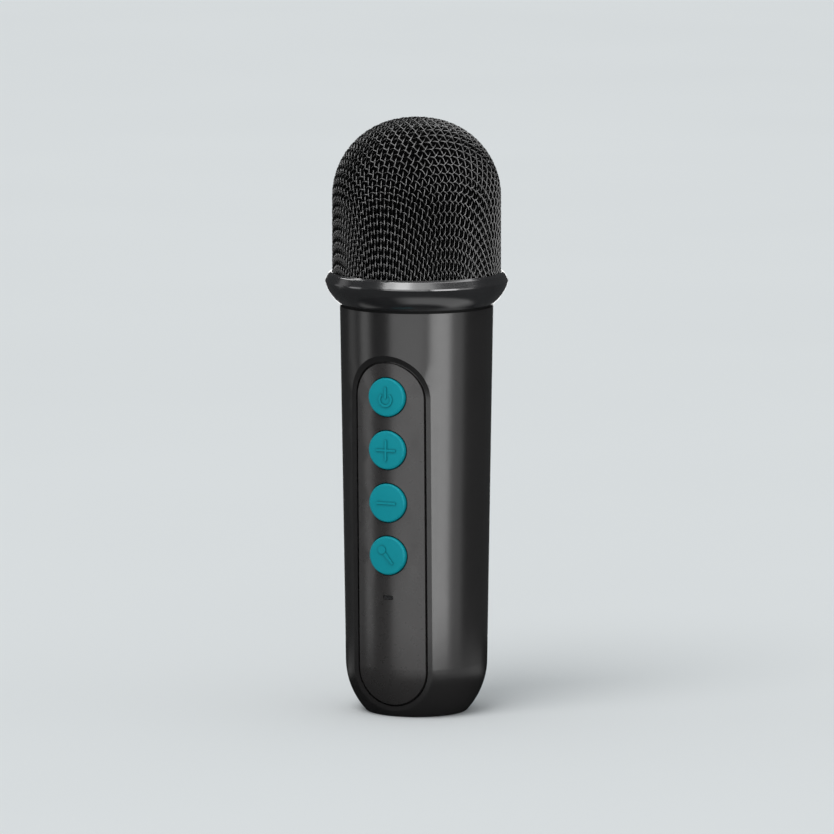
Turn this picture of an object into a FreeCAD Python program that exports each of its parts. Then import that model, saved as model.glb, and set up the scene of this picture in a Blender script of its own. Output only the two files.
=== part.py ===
"""Karaoke microphone with a screw-on wire grille, four push buttons and a charging port.

A FreeCAD document in millimetres. Z points up, the microphone stands on Z = 0 with its axis
on Z, and its button panel faces -Y. Every length that can be chosen is a cell of the sheet
Sizes. Each piece is one object, and parts/NAME.step holds its solids.
"""
import math
import os

import FreeCAD
import Part
import Sketcher
from FreeCAD import Placement, Rotation, Vector

DRIVING_SIZES = [
    # handle
    ("shell_height", 99.2, "open top edge of the handle above the floor"),
    ("shell_radius", 18.6, "outside of the handle at its top edge"),
    ("shell_taper", 1.35, "how much thinner the handle is where the foot starts"),
    ("foot_height", 12.3, "where the foot starts to round in"),
    ("foot_tuck", 4.95, "how far the foot rounds in"),
    ("foot_edge", 0.5, "round on the edge of the foot"),
    ("wall", 2.6, "wall of the handle"),
    ("base_thickness", 2.4, "floor of the handle"),
    ("boss_inset", 3.6, "from the bore's wall to the centre of a screw boss"),
    ("boss_radius", 2.4, "screw boss"),
    ("boss_length", 12.0, "screw boss, downwards from the neck ring"),
    ("boss_floor", 2.0, "closed lower end of a boss"),
    # front panel
    ("panel_bottom", 3.2, "lower end of the panel above the floor"),
    ("panel_top_gap", 12.2, "from the panel's upper end to the top edge of the handle"),
    ("panel_margin", 4.0, "from a button's edge to the panel's side"),
    ("panel_gap", 0.5, "gap around the panel"),
    ("panel_inset", 0.6, "how far the panel lies below the handle's surface"),
    ("panel_thickness", 1.0, "panel"),
    ("panel_seat", 0.05, "glue between the panel and the handle"),
    ("bevel_width", 1.4, "sloped edge around the panel, across"),
    ("bevel_depth", 0.65, "sloped edge around the panel, inwards"),
    ("peg_radius", 0.9, "pegs behind the panel"),
    ("peg_reach", 1.6, "pegs, beyond the back of the panel"),
    ("peg_clearance", 0.1, "around a peg in its hole"),
    ("peg_inset", 1.0, "from a peg to the panel's side"),
    # buttons
    ("button_radius", 4.7, "cap of a button"),
    ("button_gap", 0.25, "gap around a cap in the panel"),
    ("button_space", 3.47, "between two caps"),
    ("button_drop", 8.2, "from the panel's upper end to the first button's centre"),
    ("button_rise", 0.75, "how far a cap stands out of the panel"),
    ("button_round", 0.5, "round on the edge of a cap"),
    ("button_crown", 0.15, "how far the face of a cap swells"),
    ("lip_width", 0.45, "how far the flange of a button reaches behind the panel"),
    ("lip_thickness", 0.6, "flange of a button"),
    ("lip_play", 0.05, "between the flange and the panel at rest"),
    ("lip_clearance", 0.3, "around the flange in the handle's hole"),
    ("button_travel", 0.3, "stroke of a button"),
    ("post_radius", 1.6, "post behind a button"),
    ("post_length", 1.1, "shortest post"),
    ("post_play", 0.1, "between a post and its switch at rest"),
    ("sign_reach", 2.5, "sign on a button, from its centre"),
    ("sign_stroke", 0.55, "line of a sign"),
    ("sign_rise", 0.22, "how far a sign stands out"),
    # status light
    ("light_drop", 10.3, "from the last button's centre to the light"),
    ("light_width", 2.7, "tip of the light pipe, across"),
    ("light_height", 0.95, "tip of the light pipe, up and down"),
    ("light_gap", 0.06, "around the light pipe"),
    ("light_depth", 0.35, "how far the tip lies below the panel's surface"),
    ("light_lip", 1.0, "flange of the light pipe, beyond its tip"),
    ("led_height", 0.9, "package of the light"),
    ("led_lens", 0.3, "lens on the light's package"),
    ("led_play", 0.2, "between the lens and the light pipe"),
    # circuit board and switches
    ("switch_height", 4.3, "switch and plunger above the board"),
    ("switch_case", 3.4, "switch without its plunger"),
    ("switch_half", 3.0, "half the side of a switch"),
    ("plunger_radius", 1.75, "plunger of a switch"),
    ("plunger_depth", 2.6, "how deep the plunger's well goes into the switch"),
    ("plunger_clearance", 0.1, "around a plunger in its well"),
    ("plunger_play", 0.1, "below a pressed plunger in its well"),
    ("terminal_reach", 0.9, "legs of a switch, beyond its side"),
    ("terminal_half", 0.35, "half the width of a leg"),
    ("terminal_thickness", 0.2, "leg of a switch"),
    ("board_thickness", 1.2, "circuit board"),
    ("board_bottom", 4.2, "lower end of the board above the floor"),
    ("board_top_gap", 4.0, "from the board's upper end to the neck ring"),
    ("board_side_gap", 0.8, "between the board's edge and the bore"),
    ("board_step", 1.0, "from the start of the foot to where the board widens"),
    ("module_length", 12.0, "radio module"),
    ("module_half", 5.0, "half the width of the radio module"),
    ("module_thickness", 2.0, "radio module"),
    ("module_antenna", 3.0, "part of the radio module without a shield"),
    ("module_edge", 0.55, "edge of the radio module around its shield"),
    ("module_carrier", 0.8, "small circuit board of the radio module"),
    ("capacitor_pitch", 3.2, "from one small capacitor to the next"),
    ("board_screw_edge", 2.6, "from a board screw to the board's edge"),
    ("board_screw_end", 3.6, "from a board screw to the end of the board's wide part"),
    # chassis and battery
    ("board_standoff", 3.0, "between the board and the chassis"),
    ("standoff_radius", 2.2, "post that holds the board"),
    ("chassis_thickness", 1.2, "chassis plate"),
    ("chassis_play", 0.1, "above and below the chassis"),
    ("battery_radius", 7.1, "cell with its sleeve"),
    ("battery_length", 50.0, "cell with its end cap"),
    ("battery_bottom", 14.0, "lower end of the cell above the floor"),
    ("battery_play", 0.15, "around the cell in its cradle"),
    ("cradle_wall", 1.1, "side of the cradle"),
    ("cradle_rib", 1.6, "thickness of a cradle rib"),
    ("cradle_reach", 1.0, "how far a rib reaches past the cell's middle"),
    ("low_rib_rise", 6.25, "from the cell's lower end to the lower rib"),
    ("high_rib_drop", 10.0, "from the cell's upper end to the upper rib"),
    ("shelf_half", 5.8, "half the width of the shelf below the cell"),
    ("window_margin", 2.1, "beside the leads in a window of the chassis"),
    ("port_margin", 0.8, "around the port in the chassis"),
    ("cell_cap_radius", 2.85, "end cap of the cell"),
    ("cell_cap_height", 1.2, "end cap of the cell"),
    ("pad_thickness", 0.8, "foam pad behind the cell"),
    ("battery_wire", 0.6, "radius of a battery lead"),
    ("signal_wire", 0.45, "radius of a capsule lead"),
    ("wire_bend", 2.5, "bend of every lead"),
    ("battery_spread", 1.5, "from the middle to a battery lead"),
    ("signal_spread", 0.9, "from the middle to a capsule lead"),
    ("battery_lead_drop", 6.5, "from the neck ring down to the battery leads' upper run"),
    ("signal_lead_drop", 4.5, "from the neck ring down to the capsule leads' run"),
    ("signal_tail", 5.0, "end of a capsule lead along the board"),
    ("plug_drop", 4.5, "from a battery lead's last bend to its plug"),
    ("plug_length", 4.0, "battery plug above its socket"),
    ("plug_lap", 0.9, "how deep the plug sits in its socket"),
    ("plug_play", 0.1, "around the plug in its socket"),
    ("socket_half", 3.0, "half the width of the battery socket"),
    ("socket_wall", 0.4, "wall of the battery socket"),
    ("socket_half_depth", 1.2, "from the plug's middle to the back of its socket"),
    # charging port
    ("port_half", 4.47, "half the width of the port's shell"),
    ("port_thickness", 3.26, "port's shell, front to back"),
    ("port_length", 7.35, "port's shell"),
    ("port_wall", 0.3, "metal of the port's shell"),
    ("port_mouth", 0.8, "mouth of the port above the floor"),
    ("port_gap", 0.25, "around the port in the handle's floor"),
    ("tongue_half", 3.34, "half the width of the contact tongue"),
    ("tongue_thickness", 0.7, "contact tongue"),
    ("tongue_inset", 0.5, "from the port's mouth to the tongue"),
    ("port_back", 1.0, "insert at the inner end of the port"),
    # neck and thread
    ("skirt_depth", 7.2, "how deep the neck ring sits in the handle"),
    ("skirt_wall", 1.25, "skirt of the neck ring"),
    ("skirt_play", 0.04, "between the skirt and the bore"),
    ("neck_floor", 1.5, "floor of the neck ring"),
    ("spigot_step", 0.75, "how far the threaded part overhangs the bore"),
    ("spigot_height", 5.3, "threaded part above the handle"),
    ("thread_pitch", 2.0, "rise of the thread in a turn"),
    ("thread_turns", 1.25, "length of each ridge, in turns"),
    ("thread_height", 0.6, "ridge of the neck's thread"),
    ("thread_gap", 0.25, "between a ridge's crest and the other piece"),
    ("thread_foot", 1.1, "ridge at its foot"),
    ("thread_crest", 0.5, "ridge at its crest"),
    ("thread_lift", 0.1, "from the collar's lower end to the start of a ridge"),
    ("seal_thickness", 0.6, "seal between the handle and the collar"),
    ("seal_inset", 0.15, "how far the seal's edge lies back"),
    ("seal_play", 0.05, "above and inside the seal"),
    # head
    ("head_overhang", 1.9, "how much wider the grille is than the handle"),
    ("collar_lip", 0.15, "how far the collar's lower edge stands out"),
    ("collar_rim_height", 5.55, "from the seal to the collar's widest edge"),
    ("collar_height", 7.7, "from the seal to the top of the collar"),
    ("collar_rim", 1.75, "how much wider the collar is than the grille"),
    ("collar_round", 0.5, "round on the collar's widest edge"),
    ("collar_swell", 9.5, "radius of the collar's underside"),
    ("collar_top_width", 0.15, "flat top of the collar around the grille"),
    ("shoulder_width", 0.75, "from the collar's socket to its shoulder"),
    ("shoulder_fall", 0.45, "from the collar's top down to its shoulder"),
    ("shoulder_round", 0.35, "round on the collar's shoulder"),
    ("socket_depth", 2.6, "how deep the grille sits in the collar"),
    ("socket_gap", 0.1, "around and below the grille in the collar"),
    ("grille_rise", 37.5, "top of the grille above the collar"),
    ("dome_height", 19.25, "from where the grille starts to round in to its top"),
    ("crown_extra", 4.5, "how much larger the crown's radius is than the grille's"),
    ("grille_skin", 0.9, "woven wire, both layers"),
    ("rim_width", 1.35, "band inside the grille's lower edge"),
    ("rim_height", 1.8, "band inside the grille's lower edge"),
    ("rim_gap", 0.05, "between the band and the grille"),
    ("foam_gap", 0.2, "between the foam and the grille"),
    ("foam_lift", 0.4, "between the foam and the band below it"),
    ("foam_thickness", 3.0, "foam"),
    # microphone capsule
    ("capsule_radius", 4.85, "capsule"),
    ("capsule_height", 6.5, "capsule"),
    ("capsule_rise", 5.2, "from the top of the collar to the back of the capsule"),
    ("felt_thickness", 0.6, "felt on the capsule"),
    ("felt_inset", 0.3, "from the felt's edge to the capsule's"),
    ("boot_wall", 2.75, "rubber around the capsule"),
    ("boot_floor", 1.3, "rubber behind the capsule"),
    ("boot_drop", 0.4, "from the capsule's front to the rubber's edge"),
    ("lead_hole", 1.6, "hole for the leads in the rubber"),
    ("cup_wall", 1.35, "cup around the rubber"),
    ("cup_depth", 4.8, "cup"),
    ("cup_floor", 1.2, "floor of the cup"),
    ("slip", 0.05, "between pieces that are pushed together by hand"),
    ("stem_radius", 4.2, "stem of the capsule holder"),
    ("stem_bore", 2.6, "hole for the capsule's leads"),
    ("foot_flange", 8.6, "flange of the capsule holder"),
    ("flange_thickness", 1.5, "flange of the capsule holder"),
    # screws
    ("screw_radius", 0.9, "every screw"),
    ("neck_screw_reach", 8.0, "neck screws, below the neck ring"),
    ("screw_clearance", 0.15, "around a screw in a through hole"),
    ("screw_grip", 0.02, "around a screw in the hole that holds it"),
    ("screw_head", 1.8, "head of every screw"),
    ("head_thickness", 1.1, "head of every screw"),
    ("cross_half", 1.0, "half the length of the cross in a head"),
    ("cross_width", 0.4, "slot of the cross in a head"),
    ("cross_depth", 0.6, "cross in a head"),
]


THROUGH = 1  # how far a cut starts before and ends behind what it goes through
CLEAR = 5  # how far beyond the handle a tool that cuts all of its front reaches
ROOT = 0.1  # how far a sign or a ridge reaches into what it stands on


class Size:
    """A length with its present value and the expression of sheet cells that gives it."""

    def __init__(self, value, text):
        self.value = value
        self.text = text

    def __add__(self, other):
        return joined(self, "+", other)

    def __radd__(self, other):
        return joined(other, "+", self)

    def __sub__(self, other):
        return joined(self, "-", other)

    def __rsub__(self, other):
        return joined(other, "-", self)

    def __mul__(self, other):
        return joined(self, "*", other)

    def __rmul__(self, other):
        return joined(other, "*", self)

    def __truediv__(self, other):
        return joined(self, "/", other)

    def __rtruediv__(self, other):
        return joined(other, "/", self)

    def __neg__(self):
        return joined(-1.0, "*", self)


def as_size(number):
    if isinstance(number, Size):
        return number
    return Size(float(number), "%.12g" % number)


def joined(left, sign, right):
    left = as_size(left)
    right = as_size(right)
    if sign == "+":
        value = left.value + right.value
    elif sign == "-":
        value = left.value - right.value
    elif sign == "*":
        value = left.value * right.value
    else:
        value = left.value / right.value
    return Size(value, "(%s %s %s)" % (left.text, sign, right.text))


def root(square):
    return Size(math.sqrt(square.value), "sqrt(%s)" % square.text)


def is_zero(size):
    return size.text == "0"


def make_sheet(doc):
    sheet = doc.addObject("Spreadsheet::Sheet", "Sizes")
    for row, (alias, value, meaning) in enumerate(DRIVING_SIZES, start=1):
        sheet.set("A%d" % row, str(value))
        sheet.setAlias("A%d" % row, alias)
        sheet.set("B%d" % row, meaning)
    doc.recompute()
    return sheet


class Sheet:
    """Reads a cell by its alias, as a Size."""

    def __init__(self, sheet):
        self.sheet = sheet

    def __getattr__(self, alias):
        return Size(float(self.sheet.get(alias)), "Sizes." + alias)


# ---- sketches ----

def new_body(doc, name):
    body = doc.addObject("PartDesign::Body", name)
    body.Label = name
    body.AllowCompound = True
    return body


def sketch(body, name, plane, level=0):
    """A sketch on one of the body's own planes, moved along the plane's normal to level."""
    level = as_size(level)
    drawing = body.newObject("Sketcher::SketchObject", name)
    support = next(f for f in body.Origin.OriginFeatures if f.Role == plane)
    drawing.AttachmentSupport = [(support, "")]
    drawing.MapMode = "FlatFace"
    drawing.AttachmentOffset = Placement(Vector(0, 0, level.value), Rotation())
    drawing.setExpression("AttachmentOffset.Base.z", level.text)
    return drawing


def bind(drawing, constraint, size):
    index = drawing.addConstraint(constraint)
    drawing.setExpression("Constraints[%d]" % index, size.text)


def pin(drawing, item, point, x, y):
    """Tie a point of a sketch to its place, measured from the sketch's origin."""
    for size, kind, axis in ((as_size(x), "DistanceX", -2), (as_size(y), "DistanceY", -1)):
        if is_zero(size):
            drawing.addConstraint(Sketcher.Constraint("PointOnObject", item, point, axis))
        else:
            bind(drawing, Sketcher.Constraint(kind, -1, 1, item, point, size.value), size)


def arc_between(start, end, radius):
    """The shorter arc between two points: centre on the left for a positive radius."""
    along = end - start
    middle = (start + end) * 0.5
    left = Vector(-along.y, along.x, 0) * (1 / along.Length)
    reach = math.sqrt(max(radius ** 2 - along.Length ** 2 / 4, 0))
    centre = middle + left * math.copysign(reach, radius)
    first, last = (start, end) if radius > 0 else (end, start)
    angles = [math.atan2(p.y - centre.y, p.x - centre.x) for p in (first, last)]
    circle = Part.Circle(centre, Vector(0, 0, 1), abs(radius))
    return Part.ArcOfCircle(circle, angles[0], angles[1])


def outline(drawing, corners):
    """Draw a closed outline. A corner is (x, y), or (x, y, radius) where an arc leaves it.

    Going round anticlockwise, a positive radius swells outwards and a negative one inwards.
    """
    places = [Vector(as_size(c[0]).value, as_size(c[1]).value, 0) for c in corners]
    edges = []
    for index, corner in enumerate(corners):
        start = places[index]
        end = places[(index + 1) % len(corners)]
        if len(corner) == 2:
            item = drawing.addGeometry(Part.LineSegment(start, end), False)
            edges.append((item, 1, 2))
        else:
            radius = as_size(corner[2])
            item = drawing.addGeometry(arc_between(start, end, radius.value), False)
            edges.append((item, 1, 2) if radius.value > 0 else (item, 2, 1))
    for index, corner in enumerate(corners):
        item, first, last = edges[index]
        following = edges[(index + 1) % len(edges)]
        drawing.addConstraint(
            Sketcher.Constraint("Coincident", item, last, following[0], following[1]))
        pin(drawing, item, first, corner[0], corner[1])
        if len(corner) == 3:
            radius = as_size(corner[2])
            if radius.value < 0:
                radius = -radius
            bind(drawing, Sketcher.Constraint("Radius", item, radius.value), radius)


def rectangle(drawing, left, bottom, right, top):
    outline(drawing, [(left, bottom), (right, bottom), (right, top), (left, top)])


def circle(drawing, x, y, radius):
    radius = as_size(radius)
    centre = Vector(as_size(x).value, as_size(y).value, 0)
    item = drawing.addGeometry(Part.Circle(centre, Vector(0, 0, 1), radius.value), False)
    bind(drawing, Sketcher.Constraint("Radius", item, radius.value), radius)
    pin(drawing, item, 3, x, y)


def stadium(drawing, start, end, radius):
    """A slot with round ends between two centres that lie on one line along X or Y."""
    radius = as_size(radius)
    centres = [Vector(as_size(p[0]).value, as_size(p[1]).value, 0) for p in (start, end)]
    along = (centres[1] - centres[0]).normalize()
    side = Vector(along.y, -along.x, 0) * radius.value
    heading = math.atan2(along.y, along.x)
    quarter = math.pi / 2
    caps = []
    for centre, turn in ((centres[1], -quarter), (centres[0], quarter)):
        cap = Part.Circle(centre, Vector(0, 0, 1), radius.value)
        angle = heading + turn
        caps.append(drawing.addGeometry(Part.ArcOfCircle(cap, angle, angle + math.pi), False))
    sides = [
        drawing.addGeometry(Part.LineSegment(centres[1] - side, centres[0] - side), False),
        drawing.addGeometry(Part.LineSegment(centres[0] + side, centres[1] + side), False)]
    ring = [caps[0], sides[0], caps[1], sides[1]]
    for index, item in enumerate(ring):
        following = ring[(index + 1) % len(ring)]
        drawing.addConstraint(Sketcher.Constraint("Tangent", item, 2, following, 1))
    drawing.addConstraint(Sketcher.Constraint("Equal", caps[0], caps[1]))
    bind(drawing, Sketcher.Constraint("Radius", caps[0], radius.value), radius)
    pin(drawing, caps[0], 3, end[0], end[1])
    pin(drawing, caps[1], 3, start[0], start[1])


# ---- features ----

def turned(body, name, corners):
    """Turn an outline of (radius, height) corners about the body's Z axis."""
    drawing = sketch(body, name + "_section", "XZ_Plane")
    outline(drawing, corners)
    feature = body.newObject("PartDesign::Revolution", name)
    feature.Profile = drawing
    feature.ReferenceAxis = (drawing, ["V_Axis"])
    feature.Angle = 360
    return feature


def extruded(body, name, plane, start, end, draw, cut=False):
    """Pad or pocket what draw() sketches, from start to end along the plane's normal."""
    start = as_size(start)
    drawing = sketch(body, name + "_outline", plane, start)
    draw(drawing)
    feature = body.newObject("PartDesign::Pocket" if cut else "PartDesign::Pad", name)
    feature.Profile = drawing
    feature.setExpression("Length", (end - start).text)
    feature.Reversed = cut
    return feature


def recess(body, name, plane, start, end, draw):
    """Pocket what draw() sketches, from start to end along the plane's normal."""
    return extruded(body, name, plane, start, end, draw, cut=True)


def ridge(body, name, radius, crest, middle, s):
    """One ridge of the screw thread, from just inside radius to crest, centred on middle."""
    inwards = ROOT if crest.value < radius.value else -ROOT
    drawing = sketch(body, name + "_section", "XZ_Plane")
    outline(drawing, [
        (radius + inwards, middle - s.thread_foot / 2), (crest, middle - s.thread_crest / 2),
        (crest, middle + s.thread_crest / 2), (radius + inwards, middle + s.thread_foot / 2)])
    feature = body.newObject("PartDesign::AdditiveHelix", name)
    feature.Profile = drawing
    feature.ReferenceAxis = (drawing, ["V_Axis"])
    feature.Mode = "pitch-turns-angle"
    feature.setExpression("Pitch", s.thread_pitch.text)
    feature.setExpression("Turns", s.thread_turns.text)
    return feature


def front_body(doc, name, height=0):
    """A body whose own Z axis points out of the front, at a height on the handle's axis."""
    body = new_body(doc, name)
    height = as_size(height)
    body.Placement = Placement(Vector(0, 0, height.value), Rotation(Vector(1, 0, 0), 90))
    body.setExpression("Placement.Base.z", height.text)
    return body


def chord(radius, offset):
    """How far out a round surface lies at a sideways offset from its middle."""
    return root(radius * radius - offset * offset)


class Plan:
    """Sizes that follow from the sheet and that more than one piece uses."""

    def __init__(self, s):
        self.s = s
        # handle
        self.low_radius = s.shell_radius - s.shell_taper
        self.foot_radius = self.low_radius - s.foot_tuck
        self.wall_rise = s.shell_height - s.foot_height
        slant = root(self.wall_rise * self.wall_rise + s.shell_taper * s.shell_taper)
        self.stretch = slant / self.wall_rise
        self.out = self.wall_rise / slant
        self.down = s.shell_taper / slant
        sagitta = 2 * (s.foot_tuck * self.out - s.foot_height * self.down)
        self.foot_arc = (s.foot_tuck * s.foot_tuck + s.foot_height * s.foot_height) / sagitta
        self.arc_radius = self.low_radius - self.foot_arc * self.out
        self.arc_height = s.foot_height + self.foot_arc * self.down
        self.bore = self.wall_at(s.shell_height, s.wall)
        self.clear = s.shell_radius + CLEAR
        # panel and buttons
        self.panel_top = s.shell_height - s.panel_top_gap
        self.panel_half = s.button_radius + s.panel_margin
        self.panel_back = s.panel_inset + s.panel_thickness
        pitch = 2 * s.button_radius + s.button_space
        first = self.panel_top - s.button_drop
        self.button_heights = [first - pitch * row for row in range(4)]
        self.light_height = self.button_heights[3] - s.light_drop
        self.lip_radius = s.button_radius + s.button_gap + s.lip_width
        lowest_lip = self.lip_face(self.button_heights[3]) - s.lip_thickness
        self.switch_top = lowest_lip - s.post_length
        # board, chassis and battery, by their distance in front of the axis
        self.board_front = self.switch_top - s.post_play - s.switch_height
        self.board_back = self.board_front - s.board_thickness
        self.chassis_front = self.board_back - s.board_standoff
        self.chassis_back = self.chassis_front - s.chassis_thickness
        self.battery_y = s.battery_radius + s.pad_thickness - self.chassis_back
        self.battery_top = s.battery_bottom + s.battery_length
        low_bore = self.low_radius - s.wall
        self.board_half = chord(low_bore, self.board_front) - s.board_side_gap
        tail_bore = self.foot_at(s.board_bottom, s.wall)
        self.tail_half = chord(tail_bore, self.board_front) - s.board_side_gap
        self.chassis_half = chord(low_bore, self.chassis_front) - s.board_side_gap
        floor_bore = self.foot_at(s.base_thickness, s.wall)
        self.leg_half = chord(floor_bore, self.chassis_front) - s.board_side_gap
        self.skirt_bottom = s.shell_height - s.skirt_depth
        self.board_top = self.skirt_bottom - s.board_top_gap
        self.board_wide = s.foot_height + s.board_step
        screw_x = self.board_half - s.board_screw_edge
        screw_z = (self.board_wide + s.board_screw_end, self.board_top - s.board_screw_end)
        self.board_screws = [(x, z) for x in (-screw_x, screw_x) for z in screw_z]
        self.port_y = s.port_thickness / 2 - self.board_back
        self.port_end = s.port_mouth + s.port_length
        self.port_x = s.port_half - s.port_thickness / 2
        # leads
        self.battery_lead_top = self.skirt_bottom - s.battery_lead_drop
        self.plug_top = self.battery_lead_top - s.wire_bend - s.plug_drop
        self.plug_bottom = self.plug_top - s.plug_length
        self.plug_y = s.board_standoff / 2 - self.board_back
        self.signal_lead_bend = self.skirt_bottom - s.signal_lead_drop
        self.signal_y = s.signal_wire + s.slip - self.board_back
        # neck
        self.skirt_radius = self.wall_at(self.skirt_bottom, s.wall) - s.skirt_play
        self.neck_bore = self.skirt_radius - s.skirt_wall
        self.neck_deck = self.skirt_bottom + s.neck_floor
        self.spigot = self.bore + s.spigot_step
        self.spigot_top = s.shell_height + s.spigot_height
        self.boss_x = self.bore - s.boss_inset
        self.thread_bore = self.spigot + s.thread_height + s.thread_gap
        # head
        self.seal_top = s.shell_height + s.seal_thickness
        self.collar_bottom = self.seal_top + s.seal_play
        self.collar_top = self.seal_top + s.collar_height
        self.grille_radius = s.shell_radius + s.head_overhang
        self.ledge = self.collar_top - s.socket_depth
        self.grille_bottom = self.ledge + s.socket_gap
        self.apex = self.collar_top + s.grille_rise
        self.dome_start = self.apex - s.dome_height
        self.crown = self.grille_radius + s.crown_extra
        swell = 2 * self.crown * s.dome_height - s.dome_height * s.dome_height
        square = self.grille_radius * self.grille_radius
        self.shoulder = (swell - square) / (2 * s.crown_extra)
        self.rim_radius = self.grille_radius - s.grille_skin - s.rim_gap
        self.foam_bottom = self.grille_bottom + s.rim_height + s.foam_lift
        # capsule
        self.capsule_bottom = self.collar_top + s.capsule_rise
        self.capsule_top = self.capsule_bottom + s.capsule_height
        self.boot_radius = s.capsule_radius + s.slip + s.boot_wall
        self.boot_bottom = self.capsule_bottom - s.boot_floor
        self.cup_radius = self.boot_radius + s.slip + s.cup_wall
        self.flange_screw_y = (s.stem_radius + s.foot_flange) / 2

    def wall_at(self, height, depth):
        """Radius of the tapered wall at a height, depth below its surface."""
        s = self.s
        fall = s.shell_taper * (s.shell_height - height) / self.wall_rise
        return s.shell_radius - fall - depth * self.stretch

    def foot_at(self, height, depth):
        """Radius of the rounded foot at a height, depth below its surface."""
        drop = self.arc_height - height
        arc = self.foot_arc - depth
        return self.arc_radius + root(arc * arc - drop * drop)

    def knee(self, depth):
        """Where the foot meets the tapered wall, depth below the surface."""
        s = self.s
        return (self.low_radius - depth * self.out, s.foot_height + depth * self.down)

    def lip_face(self, height):
        """Front face of a flange that lies behind the panel at a height."""
        s = self.s
        back = self.wall_at(height - self.lip_radius, self.panel_back)
        return chord(back, self.lip_radius) - s.lip_play

    def dome(self, depth, bottom):
        """Outline corners of the grille's outside, depth below it, from bottom to its top."""
        radius = self.grille_radius - depth
        ratio = self.crown / (self.crown - self.shoulder)
        tangent_radius = (self.grille_radius - self.shoulder) * ratio
        crown_centre = self.apex - self.crown
        tangent_height = crown_centre + (self.dome_start - crown_centre) * ratio
        share = 1 - depth / self.crown
        return [
            (radius, bottom), (radius, self.dome_start, self.shoulder - depth),
            (tangent_radius * share, crown_centre + (tangent_height - crown_centre) * share,
             self.crown - depth),
            (0, self.apex - depth)]

    def dome_shell(self, outside, inside, bottom):
        """Closed outline between two depths of the dome, open at the bottom."""
        outer = self.dome(outside, bottom)
        inner = self.dome(inside, bottom)
        tangent = inner[2][:2]
        return outer + [
            (inner[3][0], inner[3][1], -inner[2][2]), (tangent[0], tangent[1], -inner[1][2]),
            inner[1][:2], inner[0]]


# ---- handle ----

def handle_band(plan, outside, inside, bottom, top):
    """Closed outline between two depths of the handle's wall and foot."""
    outer_arc = plan.foot_arc - outside
    inner_arc = plan.foot_arc - inside
    outer_knee = plan.knee(outside)
    inner_knee = plan.knee(inside)
    return [
        (plan.foot_at(bottom, outside), bottom, outer_arc), outer_knee,
        (plan.wall_at(top, outside), top), (plan.wall_at(top, inside), top),
        (inner_knee[0], inner_knee[1], -inner_arc), (plan.foot_at(bottom, inside), bottom)]


def panel_outline(drawing, plan, grow):
    radius = plan.panel_half + grow
    low = plan.s.panel_bottom + plan.panel_half
    high = plan.panel_top - plan.panel_half
    stadium(drawing, (0, low), (0, high), radius)


def peg_places(plan):
    """Pegs halfway between the first and the last two buttons, beside them."""
    s = plan.s
    x = plan.panel_half - s.peg_radius - s.peg_inset
    rows = ((0, 1), (2, 3))
    heights = [(plan.button_heights[a] + plan.button_heights[b]) / 2 for a, b in rows]
    return [(x * side, z) for side in (-1, 1) for z in heights]


def recess_tool(doc, plan):
    """What the panel's recess takes out of the handle: a stadium around a smaller handle."""
    s = plan.s
    tool = new_body(doc, "recess_tool")
    extruded(tool, "recess_block", "XZ_Plane", 0, plan.clear,
             lambda d: panel_outline(d, plan, s.panel_gap))
    depth = plan.panel_back + s.panel_seat
    drawing = sketch(tool, "recess_core_section", "XZ_Plane")
    knee = plan.knee(depth)
    outline(drawing, [
        (0, 0), (plan.foot_at(as_size(0), depth), 0, plan.foot_arc - depth), knee,
        (plan.wall_at(s.shell_height, depth), s.shell_height), (0, s.shell_height)])
    core = tool.newObject("PartDesign::Groove", "recess_core")
    core.Profile = drawing
    core.ReferenceAxis = (drawing, ["V_Axis"])
    core.Angle = 360
    return tool


def recess_mouth(shape, plan):
    """Names of the edges where the recess's wall meets the handle's surface."""
    s = plan.s
    half = (plan.panel_half + s.panel_gap).value
    low = (s.panel_bottom + plan.panel_half).value
    high = (plan.panel_top - plan.panel_half).value
    centre = Vector(plan.arc_radius.value, plan.arc_height.value, 0)

    def on_surface(point):
        radius = math.hypot(point.x, point.y)
        if point.z >= s.foot_height.value:
            return abs(radius - plan.wall_at(as_size(point.z), as_size(0)).value) < 0.02
        reach = math.hypot(radius - centre.x, point.z - centre.y)
        return abs(reach - plan.foot_arc.value) < 0.02

    def on_recess(point):
        nearest = min(max(point.z, low), high)
        return point.y < 0 and abs(math.hypot(point.x, point.z - nearest) - half) < 0.01

    names = []
    for number, edge in enumerate(shape.Edges, start=1):
        span = edge.LastParameter - edge.FirstParameter
        points = [edge.valueAt(edge.FirstParameter + span * step / 4) for step in range(5)]
        if all(on_surface(p) and on_recess(p) for p in points):
            names.append("Edge%d" % number)
    return names


def ring_edge(shape, radius, height):
    """Name of the circular edge of a radius that lies at a height."""
    for number, edge in enumerate(shape.Edges, start=1):
        box = edge.BoundBox
        level = abs(box.ZMin - height) < 1e-4 and abs(box.ZMax - height) < 1e-4
        if level and abs(edge.Curve.Radius - radius) < 1e-4:
            return "Edge%d" % number
    raise RuntimeError("no round edge of radius %.3f at height %.3f" % (radius, height))


def rounded(body, name, base, edge, radius):
    feature = body.newObject("PartDesign::Fillet", name)
    feature.Base = (base, [edge])
    feature.setExpression("Radius", radius.text)
    return feature


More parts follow.
